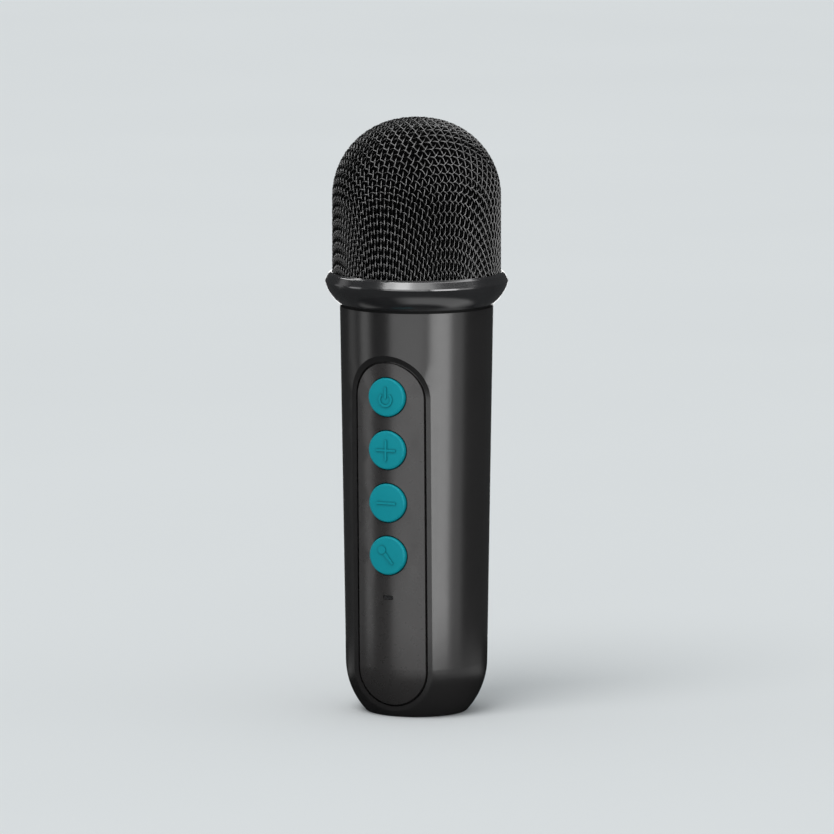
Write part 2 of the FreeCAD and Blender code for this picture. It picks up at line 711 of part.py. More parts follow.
def make_body_shell(doc, plan):
    s = plan.s
    body = new_body(doc, "body_shell")
    inner_arc = plan.foot_arc - s.wall
    inner_knee = plan.knee(s.wall)
    cup = turned(body, "cup", [
        (0, 0), (plan.foot_radius, 0, plan.foot_arc), plan.knee(as_size(0)),
        (s.shell_radius, s.shell_height), (plan.bore, s.shell_height),
        (inner_knee[0], inner_knee[1], -inner_arc),
        (plan.foot_at(s.base_thickness, s.wall), s.base_thickness), (0, s.base_thickness)])
    doc.recompute()
    foot_edge = ring_edge(cup.Shape, plan.foot_radius.value, 0)
    rounded(body, "foot_round", cup, foot_edge, s.foot_edge)
    boss_bottom = plan.skirt_bottom - s.boss_length

    def bosses(drawing):
        for side in (-1, 1):
            circle(drawing, plan.boss_x * side, 0, s.boss_radius)

    def boss_webs(drawing):
        half = s.boss_radius / 2
        reach = plan.bore + s.wall / 5
        rectangle(drawing, plan.boss_x, -half, reach, half)
        rectangle(drawing, -reach, -half, -plan.boss_x, half)

    def pilots(drawing):
        for side in (-1, 1):
            circle(drawing, plan.boss_x * side, 0, s.screw_radius + s.screw_grip)

    extruded(body, "screw_bosses", "XY_Plane", boss_bottom, plan.skirt_bottom, bosses)
    extruded(body, "boss_webs", "XY_Plane", boss_bottom, plan.skirt_bottom, boss_webs)
    recess(body, "pilot_holes", "XY_Plane", boss_bottom + s.boss_floor, plan.skirt_bottom, pilots)
    tool = recess_tool(doc, plan)
    pocket = body.newObject("PartDesign::Boolean", "panel_recess")
    pocket.Type = "Cut"
    pocket.setObjects([tool])
    doc.recompute()
    bevel = body.newObject("PartDesign::Chamfer", "recess_bevel")
    bevel.Base = (pocket, recess_mouth(pocket.Shape, plan))
    bevel.ChamferType = "Two distances"
    bevel.setExpression("Size", s.bevel_width.text)
    bevel.setExpression("Size2", s.bevel_depth.text)
    doc.recompute()

    def holes(drawing):
        for height in plan.button_heights:
            circle(drawing, 0, height, plan.lip_radius + s.lip_clearance)
        for x, z in peg_places(plan):
            circle(drawing, x, z, s.peg_radius + s.peg_clearance)
        half_width = s.light_width / 2 + s.light_lip + s.lip_clearance
        half_height = s.light_height / 2 + s.light_lip + s.lip_clearance
        rectangle(drawing, -half_width, plan.light_height - half_height,
                  half_width, plan.light_height + half_height)

    recess(body, "front_holes", "XZ_Plane", plan.board_front, plan.clear, holes)
    recess(body, "port_hole", "XY_Plane", -THROUGH, s.base_thickness + THROUGH,
           lambda d: port_outline(d, plan, s.port_gap))
    return body


def make_front_panel(doc, plan):
    s = plan.s
    body = new_body(doc, "front_panel")
    turned(body, "band", handle_band(
        plan, s.panel_inset, plan.panel_back, s.panel_bottom / 2, plan.panel_top + THROUGH))

    def around(drawing):
        reach = plan.clear
        rectangle(drawing, -reach, -THROUGH, reach, s.shell_height)
        panel_outline(drawing, plan, 0)

    def behind(drawing):
        rectangle(drawing, -plan.clear, -THROUGH, plan.clear, s.shell_height)

    recess(body, "outline", "XZ_Plane", 0, plan.clear, around)
    recess(body, "back_half", "XZ_Plane", -plan.clear, 0, behind)

    def openings(drawing):
        for height in plan.button_heights:
            circle(drawing, 0, height, s.button_radius + s.button_gap)
        half = s.light_height / 2 + s.light_gap
        reach = s.light_width / 2 - s.light_height / 2
        stadium(drawing, (-reach, plan.light_height), (reach, plan.light_height), half)

    recess(body, "openings", "XZ_Plane", plan.board_front, plan.clear, openings)
    for number, (x, z) in enumerate(peg_places(plan), start=1):
        middle = chord(plan.wall_at(z, s.panel_inset + s.panel_thickness / 2), x)
        back = chord(plan.wall_at(z, plan.panel_back), x) - s.peg_reach
        extruded(body, "peg_%d" % number, "XZ_Plane", back, middle,
                 lambda d, x=x, z=z: circle(d, x, z, s.peg_radius))
    return body


# ---- buttons and switches ----

def power_sign(drawing, s):
    """An open ring, a little low, with a bar in its gap."""
    outer = s.sign_reach * 0.72
    inner = outer - s.sign_stroke
    middle = -(s.sign_reach / 5)
    gap = math.radians(40)
    across = math.sin(gap)
    up = math.cos(gap)
    outline(drawing, [
        (outer * across, middle + outer * up, -outer), (0, middle - outer, -outer),
        (outer * -across, middle + outer * up), (inner * -across, middle + inner * up, inner),
        (0, middle - inner, inner), (inner * across, middle + inner * up)])
    half = s.sign_stroke / 2
    rectangle(drawing, -half, middle / 2, half, s.sign_reach)


def plus_sign(drawing, s):
    arm = s.sign_reach
    half = s.sign_stroke / 2
    outline(drawing, [
        (half, half), (half, arm), (-half, arm), (-half, half), (-arm, half), (-arm, -half),
        (-half, -half), (-half, -arm), (half, -arm), (half, -half), (arm, -half), (arm, half)])


def minus_sign(drawing, s):
    half = s.sign_stroke / 2
    rectangle(drawing, -s.sign_reach, -half, s.sign_reach, half)


def microphone_sign(drawing, s):
    """A ball at the upper left and a tapered grip that points to the lower right."""
    lean = math.radians(50)

    def corner(along, across):
        return (along * math.cos(lean) + across * math.sin(lean),
                across * math.cos(lean) - along * math.sin(lean))

    ball = s.sign_reach * 0.4
    place = corner(s.sign_reach * -0.75, as_size(0))
    circle(drawing, place[0], place[1], ball)
    top = s.sign_reach * -0.3
    wide = s.sign_stroke * 0.8
    narrow = s.sign_stroke * 0.5
    outline(drawing, [
        corner(top, -wide), corner(s.sign_reach, -narrow), corner(s.sign_reach, narrow),
        corner(top, wide)])


def make_button(doc, plan, name, height, sign):
    """A cap that stands out of the panel, its flange behind the panel and its post."""
    s = plan.s
    body = front_body(doc, name, height)
    face = plan.wall_at(height, s.panel_inset) + s.button_rise
    edge = face - s.button_crown
    lip = plan.lip_face(height)
    flat = s.button_radius - s.button_round
    crown = (flat * flat + s.button_crown * s.button_crown) / (2 * s.button_crown)
    turned(body, "cap", [
        (0, plan.switch_top), (s.post_radius, plan.switch_top),
        (s.post_radius, lip - s.lip_thickness), (plan.lip_radius, lip - s.lip_thickness),
        (plan.lip_radius, lip), (s.button_radius, lip),
        (s.button_radius, edge - s.button_round, s.button_round), (flat, edge, crown), (0, face)])
    extruded(body, "sign", "XY_Plane", face - s.button_crown - ROOT, face + s.sign_rise,
             lambda d: sign(d, s))
    return body


def make_switch(doc, plan, name, height):
    s = plan.s
    body = front_body(doc, name, height)
    top = plan.board_front + s.switch_case
    extruded(body, "case", "XY_Plane", plan.board_front, top,
             lambda d: rectangle(d, -s.switch_half, -s.switch_half, s.switch_half, s.switch_half))
    recess(body, "well", "XY_Plane", top - s.plunger_depth, top,
           lambda d: circle(d, 0, 0, s.plunger_radius + s.plunger_clearance))
    return body


def make_plunger(doc, plan, name, height):
    s = plan.s
    body = front_body(doc, name, height)
    top = plan.board_front + s.switch_height
    well = plan.board_front + s.switch_case - s.plunger_depth
    bottom = well + s.button_travel + s.plunger_play
    rounding = s.plunger_radius / 5
    turned(body, "plunger", [
        (0, bottom), (s.plunger_radius, bottom), (s.plunger_radius, top - rounding, rounding),
        (s.plunger_radius - rounding, top), (0, top)])
    return body


def make_terminals(doc, plan):
    """Four legs on each switch, two at either side."""
    s = plan.s
    body = new_body(doc, "switch_terminals")

    def legs(drawing):
        for height in plan.button_heights:
            for side in (-1, 1):
                for level in (-1, 1):
                    z = height + (s.switch_half - 2 * s.terminal_half) * level
                    near = s.switch_half
                    far = s.switch_half + s.terminal_reach
                    left, right = (near, far) if side > 0 else (-far, -near)
                    rectangle(drawing, left, z - s.terminal_half, right, z + s.terminal_half)

    extruded(body, "legs", "XZ_Plane", plan.board_front,
             plan.board_front + s.terminal_thickness, legs)
    return body


# ---- status light ----

def light_outline(drawing, s, grow):
    half_width = s.light_width / 2 + grow
    half_height = s.light_height / 2 + grow
    rectangle(drawing, -half_width, -half_height, half_width, half_height)


def make_status_led(doc, plan):
    s = plan.s
    body = front_body(doc, "status_led", plan.light_height)
    face = plan.board_front + s.led_height
    extruded(body, "package", "XY_Plane", plan.board_front, face,
             lambda d: light_outline(d, s, s.light_lip / 2))
    extruded(body, "lens", "XY_Plane", face, face + s.led_lens,
             lambda d: circle(d, 0, 0, s.light_height))
    return body


def make_light_pipe(doc, plan):
    s = plan.s
    body = front_body(doc, "led_light_pipe", plan.light_height)
    back = plan.board_front + s.led_height + s.led_lens + s.led_play
    half = s.light_width / 2 + s.light_lip
    bottom = plan.light_height - s.light_height / 2 - s.light_lip
    lip = chord(plan.wall_at(bottom, plan.panel_back), half) - s.lip_play
    tip = chord(plan.wall_at(plan.light_height, s.panel_inset), s.light_width / 2)
    cap = s.light_height / 2
    reach = s.light_width / 2 - cap
    extruded(body, "column", "XY_Plane", back, tip - s.light_depth,
             lambda d: stadium(d, (-reach, 0), (reach, 0), cap))
    extruded(body, "flange", "XY_Plane", lip - s.lip_thickness, lip,
             lambda d: light_outline(d, s, s.light_lip))
    return body


# ---- circuit board ----

def make_main_board(doc, plan):
    s = plan.s
    body = new_body(doc, "main_board")
    tail = plan.tail_half
    wide = plan.board_half
    extruded(body, "plate", "XZ_Plane", plan.board_back, plan.board_front, lambda d: outline(d, [
        (-tail, s.board_bottom), (tail, s.board_bottom), (tail, plan.board_wide),
        (wide, plan.board_wide), (wide, plan.board_top), (-wide, plan.board_top),
        (-wide, plan.board_wide), (-tail, plan.board_wide)]))

    def screw_holes(drawing):
        for x, z in plan.board_screws:
            circle(drawing, x, z, s.screw_radius + s.screw_clearance)

    recess(body, "screw_holes", "XZ_Plane", plan.board_back - THROUGH,
           plan.board_front + THROUGH, screw_holes)
    return body


def make_wireless_module(doc, plan):
    """Radio module on the back of the board, its antenna at the lower end."""
    s = plan.s
    body = new_body(doc, "wireless_module")
    half = s.module_half
    top = s.foot_height + s.module_length
    back = plan.board_back - s.module_carrier
    extruded(body, "carrier", "XZ_Plane", back, plan.board_back,
             lambda d: rectangle(d, -half, s.foot_height, half, top))
    edge = s.module_edge
    extruded(body, "shield", "XZ_Plane", plan.board_back - s.module_thickness, back,
             lambda d: rectangle(d, edge - half, s.foot_height + s.module_antenna,
                                 half - edge, top - edge))
    return body


BOARD_CHIPS = (
    # name, left edge, lower edge above the radio module, width, length, thickness
    ("coil", 3, 1, 4, 4, 2.0),
    ("charger", -5, 1, 3, 3, 0.9),
    ("amplifier", 1.5, 7, 5, 4, 1.5),
    ("processor", -4, 13, 7, 7, 0.9),
    ("codec", 2, 23, 5, 5, 0.9),
)
CAPACITORS = 6
CAPACITOR = (-8, 6, 1.6, 0.8, 0.8)


def make_board_chips(doc, plan):
    """Chips, a coil and small capacitors on the back of the board."""
    s = plan.s
    body = new_body(doc, "board_chips")
    start = s.foot_height + s.module_length
    for name, left, rise, width, length, thickness in BOARD_CHIPS:
        low = start + rise
        extruded(body, name, "XZ_Plane", plan.board_back - thickness, plan.board_back,
                 lambda d, x=left, z=low, w=width, n=length: rectangle(d, x, z, x + w, z + n))
    left, rise, width, length, thickness = CAPACITOR

    def capacitors(drawing):
        for row in range(CAPACITORS):
            low = start + rise + s.capacitor_pitch * row
            rectangle(drawing, left, low, left + width, low + length)

    extruded(body, "capacitors", "XZ_Plane", plan.board_back - thickness, plan.board_back,
             capacitors)
    return body


# ---- chassis and battery ----

def make_chassis(doc, plan):
    s = plan.s
    body = new_body(doc, "chassis")
    bottom = s.base_thickness + s.chassis_play
    top = plan.skirt_bottom - s.chassis_play
    leg = plan.leg_half
    wide = plan.chassis_half
    notch = s.port_half + s.port_margin
    notch_top = plan.port_end + s.port_margin
    extruded(body, "plate", "XZ_Plane", plan.chassis_back, plan.chassis_front,
             lambda d: outline(d, [
                 (notch, bottom), (leg, bottom), (leg, s.foot_height / 2), (wide, s.foot_height),
                 (wide, top), (-wide, top), (-wide, s.foot_height), (-leg, s.foot_height / 2),
                 (-leg, bottom), (-notch, bottom), (-notch, notch_top), (notch, notch_top)]))

    def standoffs(drawing):
        for x, z in plan.board_screws:
            circle(drawing, x, z, s.standoff_radius)

    def pilots(drawing):
        for x, z in plan.board_screws:
            circle(drawing, x, z, s.screw_radius + s.screw_grip)

    extruded(body, "standoffs", "XZ_Plane", plan.chassis_front, plan.board_back, standoffs)
    recess(body, "pilots", "XZ_Plane", plan.chassis_back - THROUGH, plan.board_back, pilots)
    for name, middle, spread, radius in (
            ("battery_window", plan.battery_lead_top, s.battery_spread, s.battery_wire),
            ("signal_window", plan.signal_lead_bend, s.signal_spread, s.signal_wire)):
        half = spread + radius + s.window_margin
        recess(body, name, "XZ_Plane", plan.chassis_back - THROUGH, plan.chassis_front + THROUGH,
               lambda d, m=middle, n=half: rectangle(d, -n, m - s.wire_bend, n, m + s.wire_bend))
    side = s.battery_radius + s.battery_play + s.cradle_wall
    root_y = -plan.chassis_back - s.chassis_thickness / 2
    for name, height in (("lower_rib", s.battery_bottom + s.low_rib_rise),
                         ("upper_rib", plan.battery_top - s.high_rib_drop)):
        extruded(body, name, "XY_Plane", height, height + s.cradle_rib,
                 lambda d: rectangle(d, -side, root_y, side, plan.battery_y + s.cradle_reach))
    shelf_top = s.battery_bottom - s.chassis_play
    extruded(body, "shelf", "XY_Plane", shelf_top - s.cradle_rib, shelf_top,
             lambda d: rectangle(d, -s.shelf_half, root_y, s.shelf_half, plan.battery_y))
    recess(body, "cradle", "XY_Plane", s.battery_bottom, plan.battery_top,
           lambda d: circle(d, 0, plan.battery_y, s.battery_radius + s.battery_play))
    return body


def make_battery_cell(doc, plan):
    s = plan.s
    body = new_body(doc, "battery_cell")
    body.Placement = Placement(
        Vector(0, plan.battery_y.value, s.battery_bottom.value), Rotation())
    body.setExpression("Placement.Base.y", plan.battery_y.text)
    body.setExpression("Placement.Base.z", s.battery_bottom.text)
    shoulder = s.battery_length - s.cell_cap_height
    turned(body, "can", [
        (0, 0), (s.battery_radius, 0), (s.battery_radius, shoulder),
        (s.cell_cap_radius, shoulder), (s.cell_cap_radius, s.battery_length),
        (0, s.battery_length)])
    return body


def make_battery_pad(doc, plan):
    s = plan.s
    body = new_body(doc, "battery_pad")
    half = s.battery_radius / 2
    low = s.battery_bottom + s.low_rib_rise + s.cradle_rib + s.pad_thickness
    high = plan.battery_top - s.high_rib_drop - s.pad_thickness
    extruded(body, "strip", "XZ_Plane", plan.chassis_back - s.pad_thickness + s.slip,
             plan.chassis_back, lambda d: rectangle(d, -half, low, half, high))
    return body


def lead(doc, name, radius, x, path):
    """A wire in the plane at x; path holds (y, height) corners, the first one its start."""
    body = new_body(doc, name)
    x = as_size(x)
    route = sketch(body, name + "_route", "YZ_Plane", x)
    for index in range(len(path) - 1):
        start = Vector(as_size(path[index][0]).value, as_size(path[index][1]).value, 0)
        after = path[index + 1]
        end = Vector(as_size(after[0]).value, as_size(after[1]).value, 0)
        if len(path[index]) == 2:
            route.addGeometry(Part.LineSegment(start, end), False)
            tail, tip = 1, 2
        else:
            bend = as_size(path[index][2])
            route.addGeometry(arc_between(start, end, bend.value), False)
            tail, tip = (1, 2) if bend.value > 0 else (2, 1)
            size = bend if bend.value > 0 else -bend
            bind(route, Sketcher.Constraint("Radius", index, size.value), size)
        if index:
            route.addConstraint(Sketcher.Constraint("Coincident", index - 1, last_tip, index, tail))
        pin(route, index, tail, path[index][0], path[index][1])
        last_tip = tip
    pin(route, len(path) - 2, last_tip, path[-1][0], path[-1][1])
    section = sketch(body, name + "_section", "XY_Plane", path[0][1])
    circle(section, x, path[0][0], radius)
    wire = body.newObject("PartDesign::AdditivePipe", name + "_wire")
    wire.Profile = section
    wire.Spine = route
    return body


def make_battery_lead(doc, plan, name, x):
    s = plan.s
    bend = s.wire_bend
    top = plan.battery_lead_top
    return lead(doc, name, s.battery_wire, x, [
        (plan.battery_y, plan.battery_top), (plan.battery_y, top - bend, bend),
        (plan.battery_y - bend, top), (plan.plug_y + bend, top, bend),
        (plan.plug_y, top - bend), (plan.plug_y, plan.plug_top)])


def make_capsule_lead(doc, plan, name, x):
    s = plan.s
    bend = s.wire_bend
    level = plan.signal_lead_bend
    return lead(doc, name, s.signal_wire, x, [
        (0, plan.capsule_bottom), (0, level + bend, -bend), (-bend, level),
        (plan.signal_y + bend, level, bend), (plan.signal_y, level - bend),
        (plan.signal_y, level - bend - s.signal_tail)])


def make_battery_socket(doc, plan):
    s = plan.s
    body = new_body(doc, "battery_socket")
    half = s.socket_half
    inside = half - s.socket_wall
    back = -plan.plug_y - s.socket_half_depth
    mouth = plan.plug_bottom + s.plug_lap + s.plug_play
    extruded(body, "housing", "XZ_Plane", back, plan.board_back,
             lambda d: rectangle(d, -half, plan.plug_bottom - s.plug_length, half, mouth))
    recess(body, "mouth", "XZ_Plane", back + s.socket_wall, plan.board_back - s.socket_wall,
           lambda d: rectangle(d, -inside, plan.plug_bottom - s.plug_lap - s.plug_play,
                               inside, mouth + THROUGH))
    return body


def make_battery_plug(doc, plan):
    s = plan.s
    body = new_body(doc, "battery_plug")
    inset = s.socket_wall + s.plug_play
    half = s.socket_half - inset
    back = -plan.plug_y - s.socket_half_depth + inset
    extruded(body, "housing", "XZ_Plane", back, plan.board_back - inset,
             lambda d: rectangle(d, -half, plan.plug_bottom - s.plug_lap, half, plan.plug_top))
    return body


# ---- charging port ----

def port_outline(drawing, plan, grow):
    s = plan.s
    half = s.port_thickness / 2 + grow
    stadium(drawing, (-plan.port_x, plan.port_y), (plan.port_x, plan.port_y), half)


def make_port_shell(doc, plan):
    s = plan.s
    body = new_body(doc, "usb_port_shell")
    extruded(body, "tube", "XY_Plane", s.port_mouth, plan.port_end,
             lambda d: port_outline(d, plan, 0))
    recess(body, "mouth", "XY_Plane", s.port_mouth, plan.port_end - s.port_back,
           lambda d: port_outline(d, plan, -s.port_wall))
    return body


def make_port_tongue(doc, plan):
    s = plan.s
    body = new_body(doc, "usb_port_tongue")
    half = s.tongue_thickness / 2
    extruded(body, "tongue", "XY_Plane", s.port_mouth + s.tongue_inset,
             plan.port_end - s.port_back,
             lambda d: rectangle(d, -s.tongue_half, plan.port_y - half,
                                 s.tongue_half, plan.port_y + half))
    return body


# ---- neck ----

def make_neck_ring(doc, plan):
    s = plan.s
    body = new_body(doc, "neck_ring")
    turned(body, "ring", [
        (s.stem_bore, plan.skirt_bottom), (plan.skirt_radius, plan.skirt_bottom),
        (plan.skirt_radius, s.shell_height), (plan.spigot, s.shell_height),
        (plan.spigot, plan.spigot_top), (plan.neck_bore, plan.spigot_top),
        (plan.neck_bore, plan.neck_deck), (s.stem_bore, plan.neck_deck)])
    ridge(body, "thread", plan.spigot, plan.spigot + s.thread_height, neck_thread(plan), s)

    def screw_holes(drawing):
        for side in (-1, 1):
            circle(drawing, plan.boss_x * side, 0, s.screw_radius + s.screw_clearance)
            circle(drawing, 0, plan.flange_screw_y * side, s.screw_radius + s.screw_grip)

    recess(body, "screw_holes", "XY_Plane", plan.skirt_bottom - THROUGH,
           plan.neck_deck + THROUGH, screw_holes)
    return body


def neck_thread(plan):
    """Height at which the neck's ridge starts."""
    s = plan.s
    return plan.collar_bottom + s.thread_foot / 2 + s.thread_lift


def make_neck_seal(doc, plan):
    s = plan.s
    body = new_body(doc, "neck_seal")
    inside = plan.spigot + s.seal_play
    outside = s.shell_radius - s.seal_inset
    turned(body, "ring", [
        (inside, s.shell_height), (outside, s.shell_height), (outside, plan.seal_top),
        (inside, plan.seal_top)])
    return body


# ---- head ----

def make_collar_ring(doc, plan):
    s = plan.s
    body = new_body(doc, "collar_ring")
    socket = plan.grille_radius + s.socket_gap
    lip = s.shell_radius + s.collar_lip
    widest = plan.grille_radius + s.collar_rim
    rim = plan.seal_top + s.collar_rim_height
    shoulder = (socket + s.shoulder_width, plan.collar_top - s.shoulder_fall)
    ring = turned(body, "ring", [
        (plan.thread_bore, plan.collar_bottom), (lip, plan.collar_bottom, s.collar_swell),
        (widest, rim), shoulder, (socket + s.collar_top_width, plan.collar_top),
        (socket, plan.collar_top), (socket, plan.ledge), (plan.thread_bore, plan.ledge)])
    doc.recompute()
    for name, radius, height, rounding in (
            ("rim_round", widest, rim, s.collar_round),
            ("shoulder_blend", shoulder[0], shoulder[1], s.shoulder_round)):
        ring = rounded(body, name, ring, ring_edge(ring.Shape, radius.value, height.value),
                       rounding)
        doc.recompute()
    crest = plan.thread_bore - s.thread_height - s.slip
    ridge(body, "thread", plan.thread_bore, crest, neck_thread(plan) + s.thread_pitch / 2, s)
    return body


def make_grille_mesh(doc, plan):
    s = plan.s
    body = new_body(doc, "grille_mesh")
    turned(body, "dome", plan.dome_shell(as_size(0), s.grille_skin, plan.grille_bottom))
    return body


def make_grille_rim(doc, plan):
    s = plan.s
    body = new_body(doc, "grille_rim")
    inside = plan.rim_radius - s.rim_width
    top = plan.grille_bottom + s.rim_height
    turned(body, "band", [
        (inside, plan.grille_bottom), (plan.rim_radius, plan.grille_bottom),
        (plan.rim_radius, top), (inside, top)])
    return body


def make_foam_liner(doc, plan):
    s = plan.s
    body = new_body(doc, "foam_liner")
    outside = s.grille_skin + s.foam_gap
    turned(body, "foam", plan.dome_shell(outside, outside + s.foam_thickness, plan.foam_bottom))
    return body


# ---- microphone capsule ----

def make_capsule(doc, plan):
    s = plan.s
    body = new_body(doc, "capsule")
    turned(body, "can", [
        (0, plan.capsule_bottom), (s.capsule_radius, plan.capsule_bottom),
        (s.capsule_radius, plan.capsule_top), (0, plan.capsule_top)])
    return body


def make_capsule_felt(doc, plan):
    s = plan.s
    body = new_body(doc, "capsule_felt")
    radius = s.capsule_radius - s.felt_inset
    top = plan.capsule_top + s.felt_thickness
    turned(body, "felt", [
        (0, plan.capsule_top), (radius, plan.capsule_top), (radius, top), (0, top)])
    return body


def make_capsule_boot(doc, plan):
    s = plan.s
    body = new_body(doc, "capsule_boot")
    inside = s.capsule_radius + s.slip
    top = plan.capsule_top - s.boot_drop
    turned(body, "boot", [
        (s.lead_hole, plan.boot_bottom), (plan.boot_radius, plan.boot_bottom),
        (plan.boot_radius, top), (inside, top), (inside, plan.capsule_bottom),
        (s.lead_hole, plan.capsule_bottom)])
    return body


def make_capsule_holder(doc, plan):
    s = plan.s
    body = new_body(doc, "capsule_holder")
    cup_bottom = plan.boot_bottom - s.cup_floor
    cup_top = plan.boot_bottom + s.cup_depth
    inside = plan.boot_radius + s.slip
    flange_top = plan.neck_deck + s.flange_thickness
    turned(body, "holder", [
        (s.stem_bore, plan.neck_deck), (s.foot_flange, plan.neck_deck),
        (s.foot_flange, flange_top), (s.stem_radius, flange_top), (s.stem_radius, cup_bottom),
        (plan.cup_radius, cup_bottom), (plan.cup_radius, cup_top), (inside, cup_top),
        (inside, plan.boot_bottom), (s.stem_bore, plan.boot_bottom)])

    def screw_holes(drawing):
        for side in (-1, 1):
            circle(drawing, 0, plan.flange_screw_y * side, s.screw_radius + s.screw_clearance)

    recess(body, "screw_holes", "XY_Plane", plan.neck_deck - THROUGH, flange_top + THROUGH,
           screw_holes)
    return body


# ---- screws ----

def make_screws(doc, plan, name, plane, places, tip, seat):
    """Cross-head screws in one node: shanks from tip to seat, heads beyond the seat."""
    s = plan.s
    body = new_body(doc, name)
    top = seat + s.head_thickness

    def shanks(drawing):
        for x, y in places:
            circle(drawing, x, y, s.screw_radius)

    def heads(drawing):
        for x, y in places:
            circle(drawing, x, y, s.screw_head)

    def crosses(drawing):
        half = s.cross_width / 2
        for x, y in places:
            arms = [(half, half), (half, s.cross_half), (-half, s.cross_half), (-half, half),
                    (-s.cross_half, half), (-s.cross_half, -half), (-half, -half),
                    (-half, -s.cross_half), (half, -s.cross_half), (half, -half),
                    (s.cross_half, -half), (s.cross_half, half)]
            outline(drawing, [(x + dx, y + dy) for dx, dy in arms])

    extruded(body, "shanks", plane, tip, seat, shanks)
    extruded(body, "heads", plane, seat, top, heads)
    recess(body, "crosses", plane, top - s.cross_depth, top, crosses)
    return body


# ---- the whole microphone ----

CONTROLS = (("power", power_sign), ("volume_up", plus_sign), ("volume_down", minus_sign),
            ("effect", microphone_sign))


def build(doc):
    """Make every piece; the list that comes back holds what is exported."""
    plan = Plan(Sheet(make_sheet(doc)))
    s = plan.s
    pieces = [
        make_body_shell(doc, plan), make_front_panel(doc, plan), make_chassis(doc, plan),
        make_main_board(doc, plan), make_wireless_module(doc, plan),
        make_board_chips(doc, plan), make_terminals(doc, plan), make_status_led(doc, plan),
        make_light_pipe(doc, plan), make_port_shell(doc, plan), make_port_tongue(doc, plan),
        make_battery_cell(doc, plan), make_battery_pad(doc, plan),
        make_battery_lead(doc, plan, "battery_lead_positive", s.battery_spread),
        make_battery_lead(doc, plan, "battery_lead_negative", -s.battery_spread),
        make_battery_socket(doc, plan), make_battery_plug(doc, plan), make_neck_ring(doc, plan),
        make_neck_seal(doc, plan), make_collar_ring(doc, plan), make_grille_mesh(doc, plan),
        make_grille_rim(doc, plan), make_foam_liner(doc, plan), make_capsule(doc, plan),
        make_capsule_felt(doc, plan), make_capsule_boot(doc, plan),
        make_capsule_holder(doc, plan),
        make_capsule_lead(doc, plan, "capsule_lead_signal", s.signal_spread),
        make_capsule_lead(doc, plan, "capsule_lead_ground", -s.signal_spread)]
    for (name, sign), height in zip(CONTROLS, plan.button_heights):
        pieces.append(make_button(doc, plan, name + "_button", height, sign))
        pieces.append(make_switch(doc, plan, name + "_switch", height))
        pieces.append(make_plunger(doc, plan, name + "_switch_plunger", height))
    pieces.append(make_screws(
        doc, plan, "board_screws", "XZ_Plane", plan.board_screws,
        plan.chassis_front, plan.board_front))
    pieces.append(make_screws(
        doc, plan, "neck_screws", "XY_Plane", [(-plan.boss_x, 0), (plan.boss_x, 0)],
        plan.skirt_bottom - s.neck_screw_reach, plan.neck_deck))
    flange_top = plan.neck_deck + s.flange_thickness
    pieces.append(make_screws(
        doc, plan, "holder_screws", "XY_Plane",
        [(0, -plan.flange_screw_y), (0, plan.flange_screw_y)],
        plan.skirt_bottom, flange_top))
    doc.recompute()
    return pieces


def check(doc):
    """Stop on a feature that failed, an open sketch, or a cut that takes nothing away."""
    for item in doc.Objects:
        if "Invalid" in item.State or "Error" in item.State:
            raise RuntimeError("%s did not build" % item.Label)
        if item.TypeId == "Sketcher::SketchObject" and not item.FullyConstrained:
            raise RuntimeError("%s is not fully constrained" % item.Label)
        if item.TypeId in ("PartDesign::Pocket", "PartDesign::Groove"):
            if item.Shape.Volume > item.BaseFeature.Shape.Volume - 1e-4:
                raise RuntimeError("%s cuts nothing" % item.Label)


def export(pieces):
    os.makedirs("parts", exist_ok=True)
    for piece in pieces:
        shape = piece.Shape
        if shape.isNull() or not shape.isValid() or not shape.Solids:
            raise RuntimeError("%s has no sound solid" % piece.Label)
        shape.exportStep(os.path.join("parts", piece.Label + ".step"))


document = FreeCAD.newDocument("KaraokeMicrophone")
exported = build(document)
check(document)
export(exported)
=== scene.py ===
"""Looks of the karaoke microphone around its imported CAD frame. Metres throughout."""

import math

import bmesh
import bpy
import numpy as np
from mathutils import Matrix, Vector, noise


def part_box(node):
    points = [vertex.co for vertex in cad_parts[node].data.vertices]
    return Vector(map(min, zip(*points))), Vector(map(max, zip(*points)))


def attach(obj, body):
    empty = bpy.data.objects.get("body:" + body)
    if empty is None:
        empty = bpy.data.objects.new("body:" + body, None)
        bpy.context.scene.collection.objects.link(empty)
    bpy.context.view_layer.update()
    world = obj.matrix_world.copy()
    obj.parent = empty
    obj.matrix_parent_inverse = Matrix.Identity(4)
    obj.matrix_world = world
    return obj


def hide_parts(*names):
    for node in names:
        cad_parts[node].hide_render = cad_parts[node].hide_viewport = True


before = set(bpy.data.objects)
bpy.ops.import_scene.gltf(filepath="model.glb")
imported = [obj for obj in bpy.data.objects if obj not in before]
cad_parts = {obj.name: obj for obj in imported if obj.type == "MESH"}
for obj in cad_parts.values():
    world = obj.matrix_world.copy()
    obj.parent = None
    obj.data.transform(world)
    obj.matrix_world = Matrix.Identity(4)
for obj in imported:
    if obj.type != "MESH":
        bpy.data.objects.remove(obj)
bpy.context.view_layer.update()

# ---- camera ----

CAMERA_AZIMUTH = math.radians(24)
CAMERA_ELEVATION = math.radians(7.74)
CAMERA_DISTANCE = 1.8
CAMERA_LENS = 320
SENSOR_WIDTH = 36
NEAR_LIMIT = 0.05
FAR_LIMIT = 50
LOOK_HEIGHT = 0.0718
LOOK_ASIDE = 0.0001


def heading(azimuth):
    """Horizontal direction from the microphone, 0 being its front and 90 degrees its right."""
    return Vector((math.sin(azimuth), -math.cos(azimuth), 0))


def towards(azimuth, elevation):
    level = heading(azimuth) * math.cos(elevation)
    return level + Vector((0, 0, math.sin(elevation)))


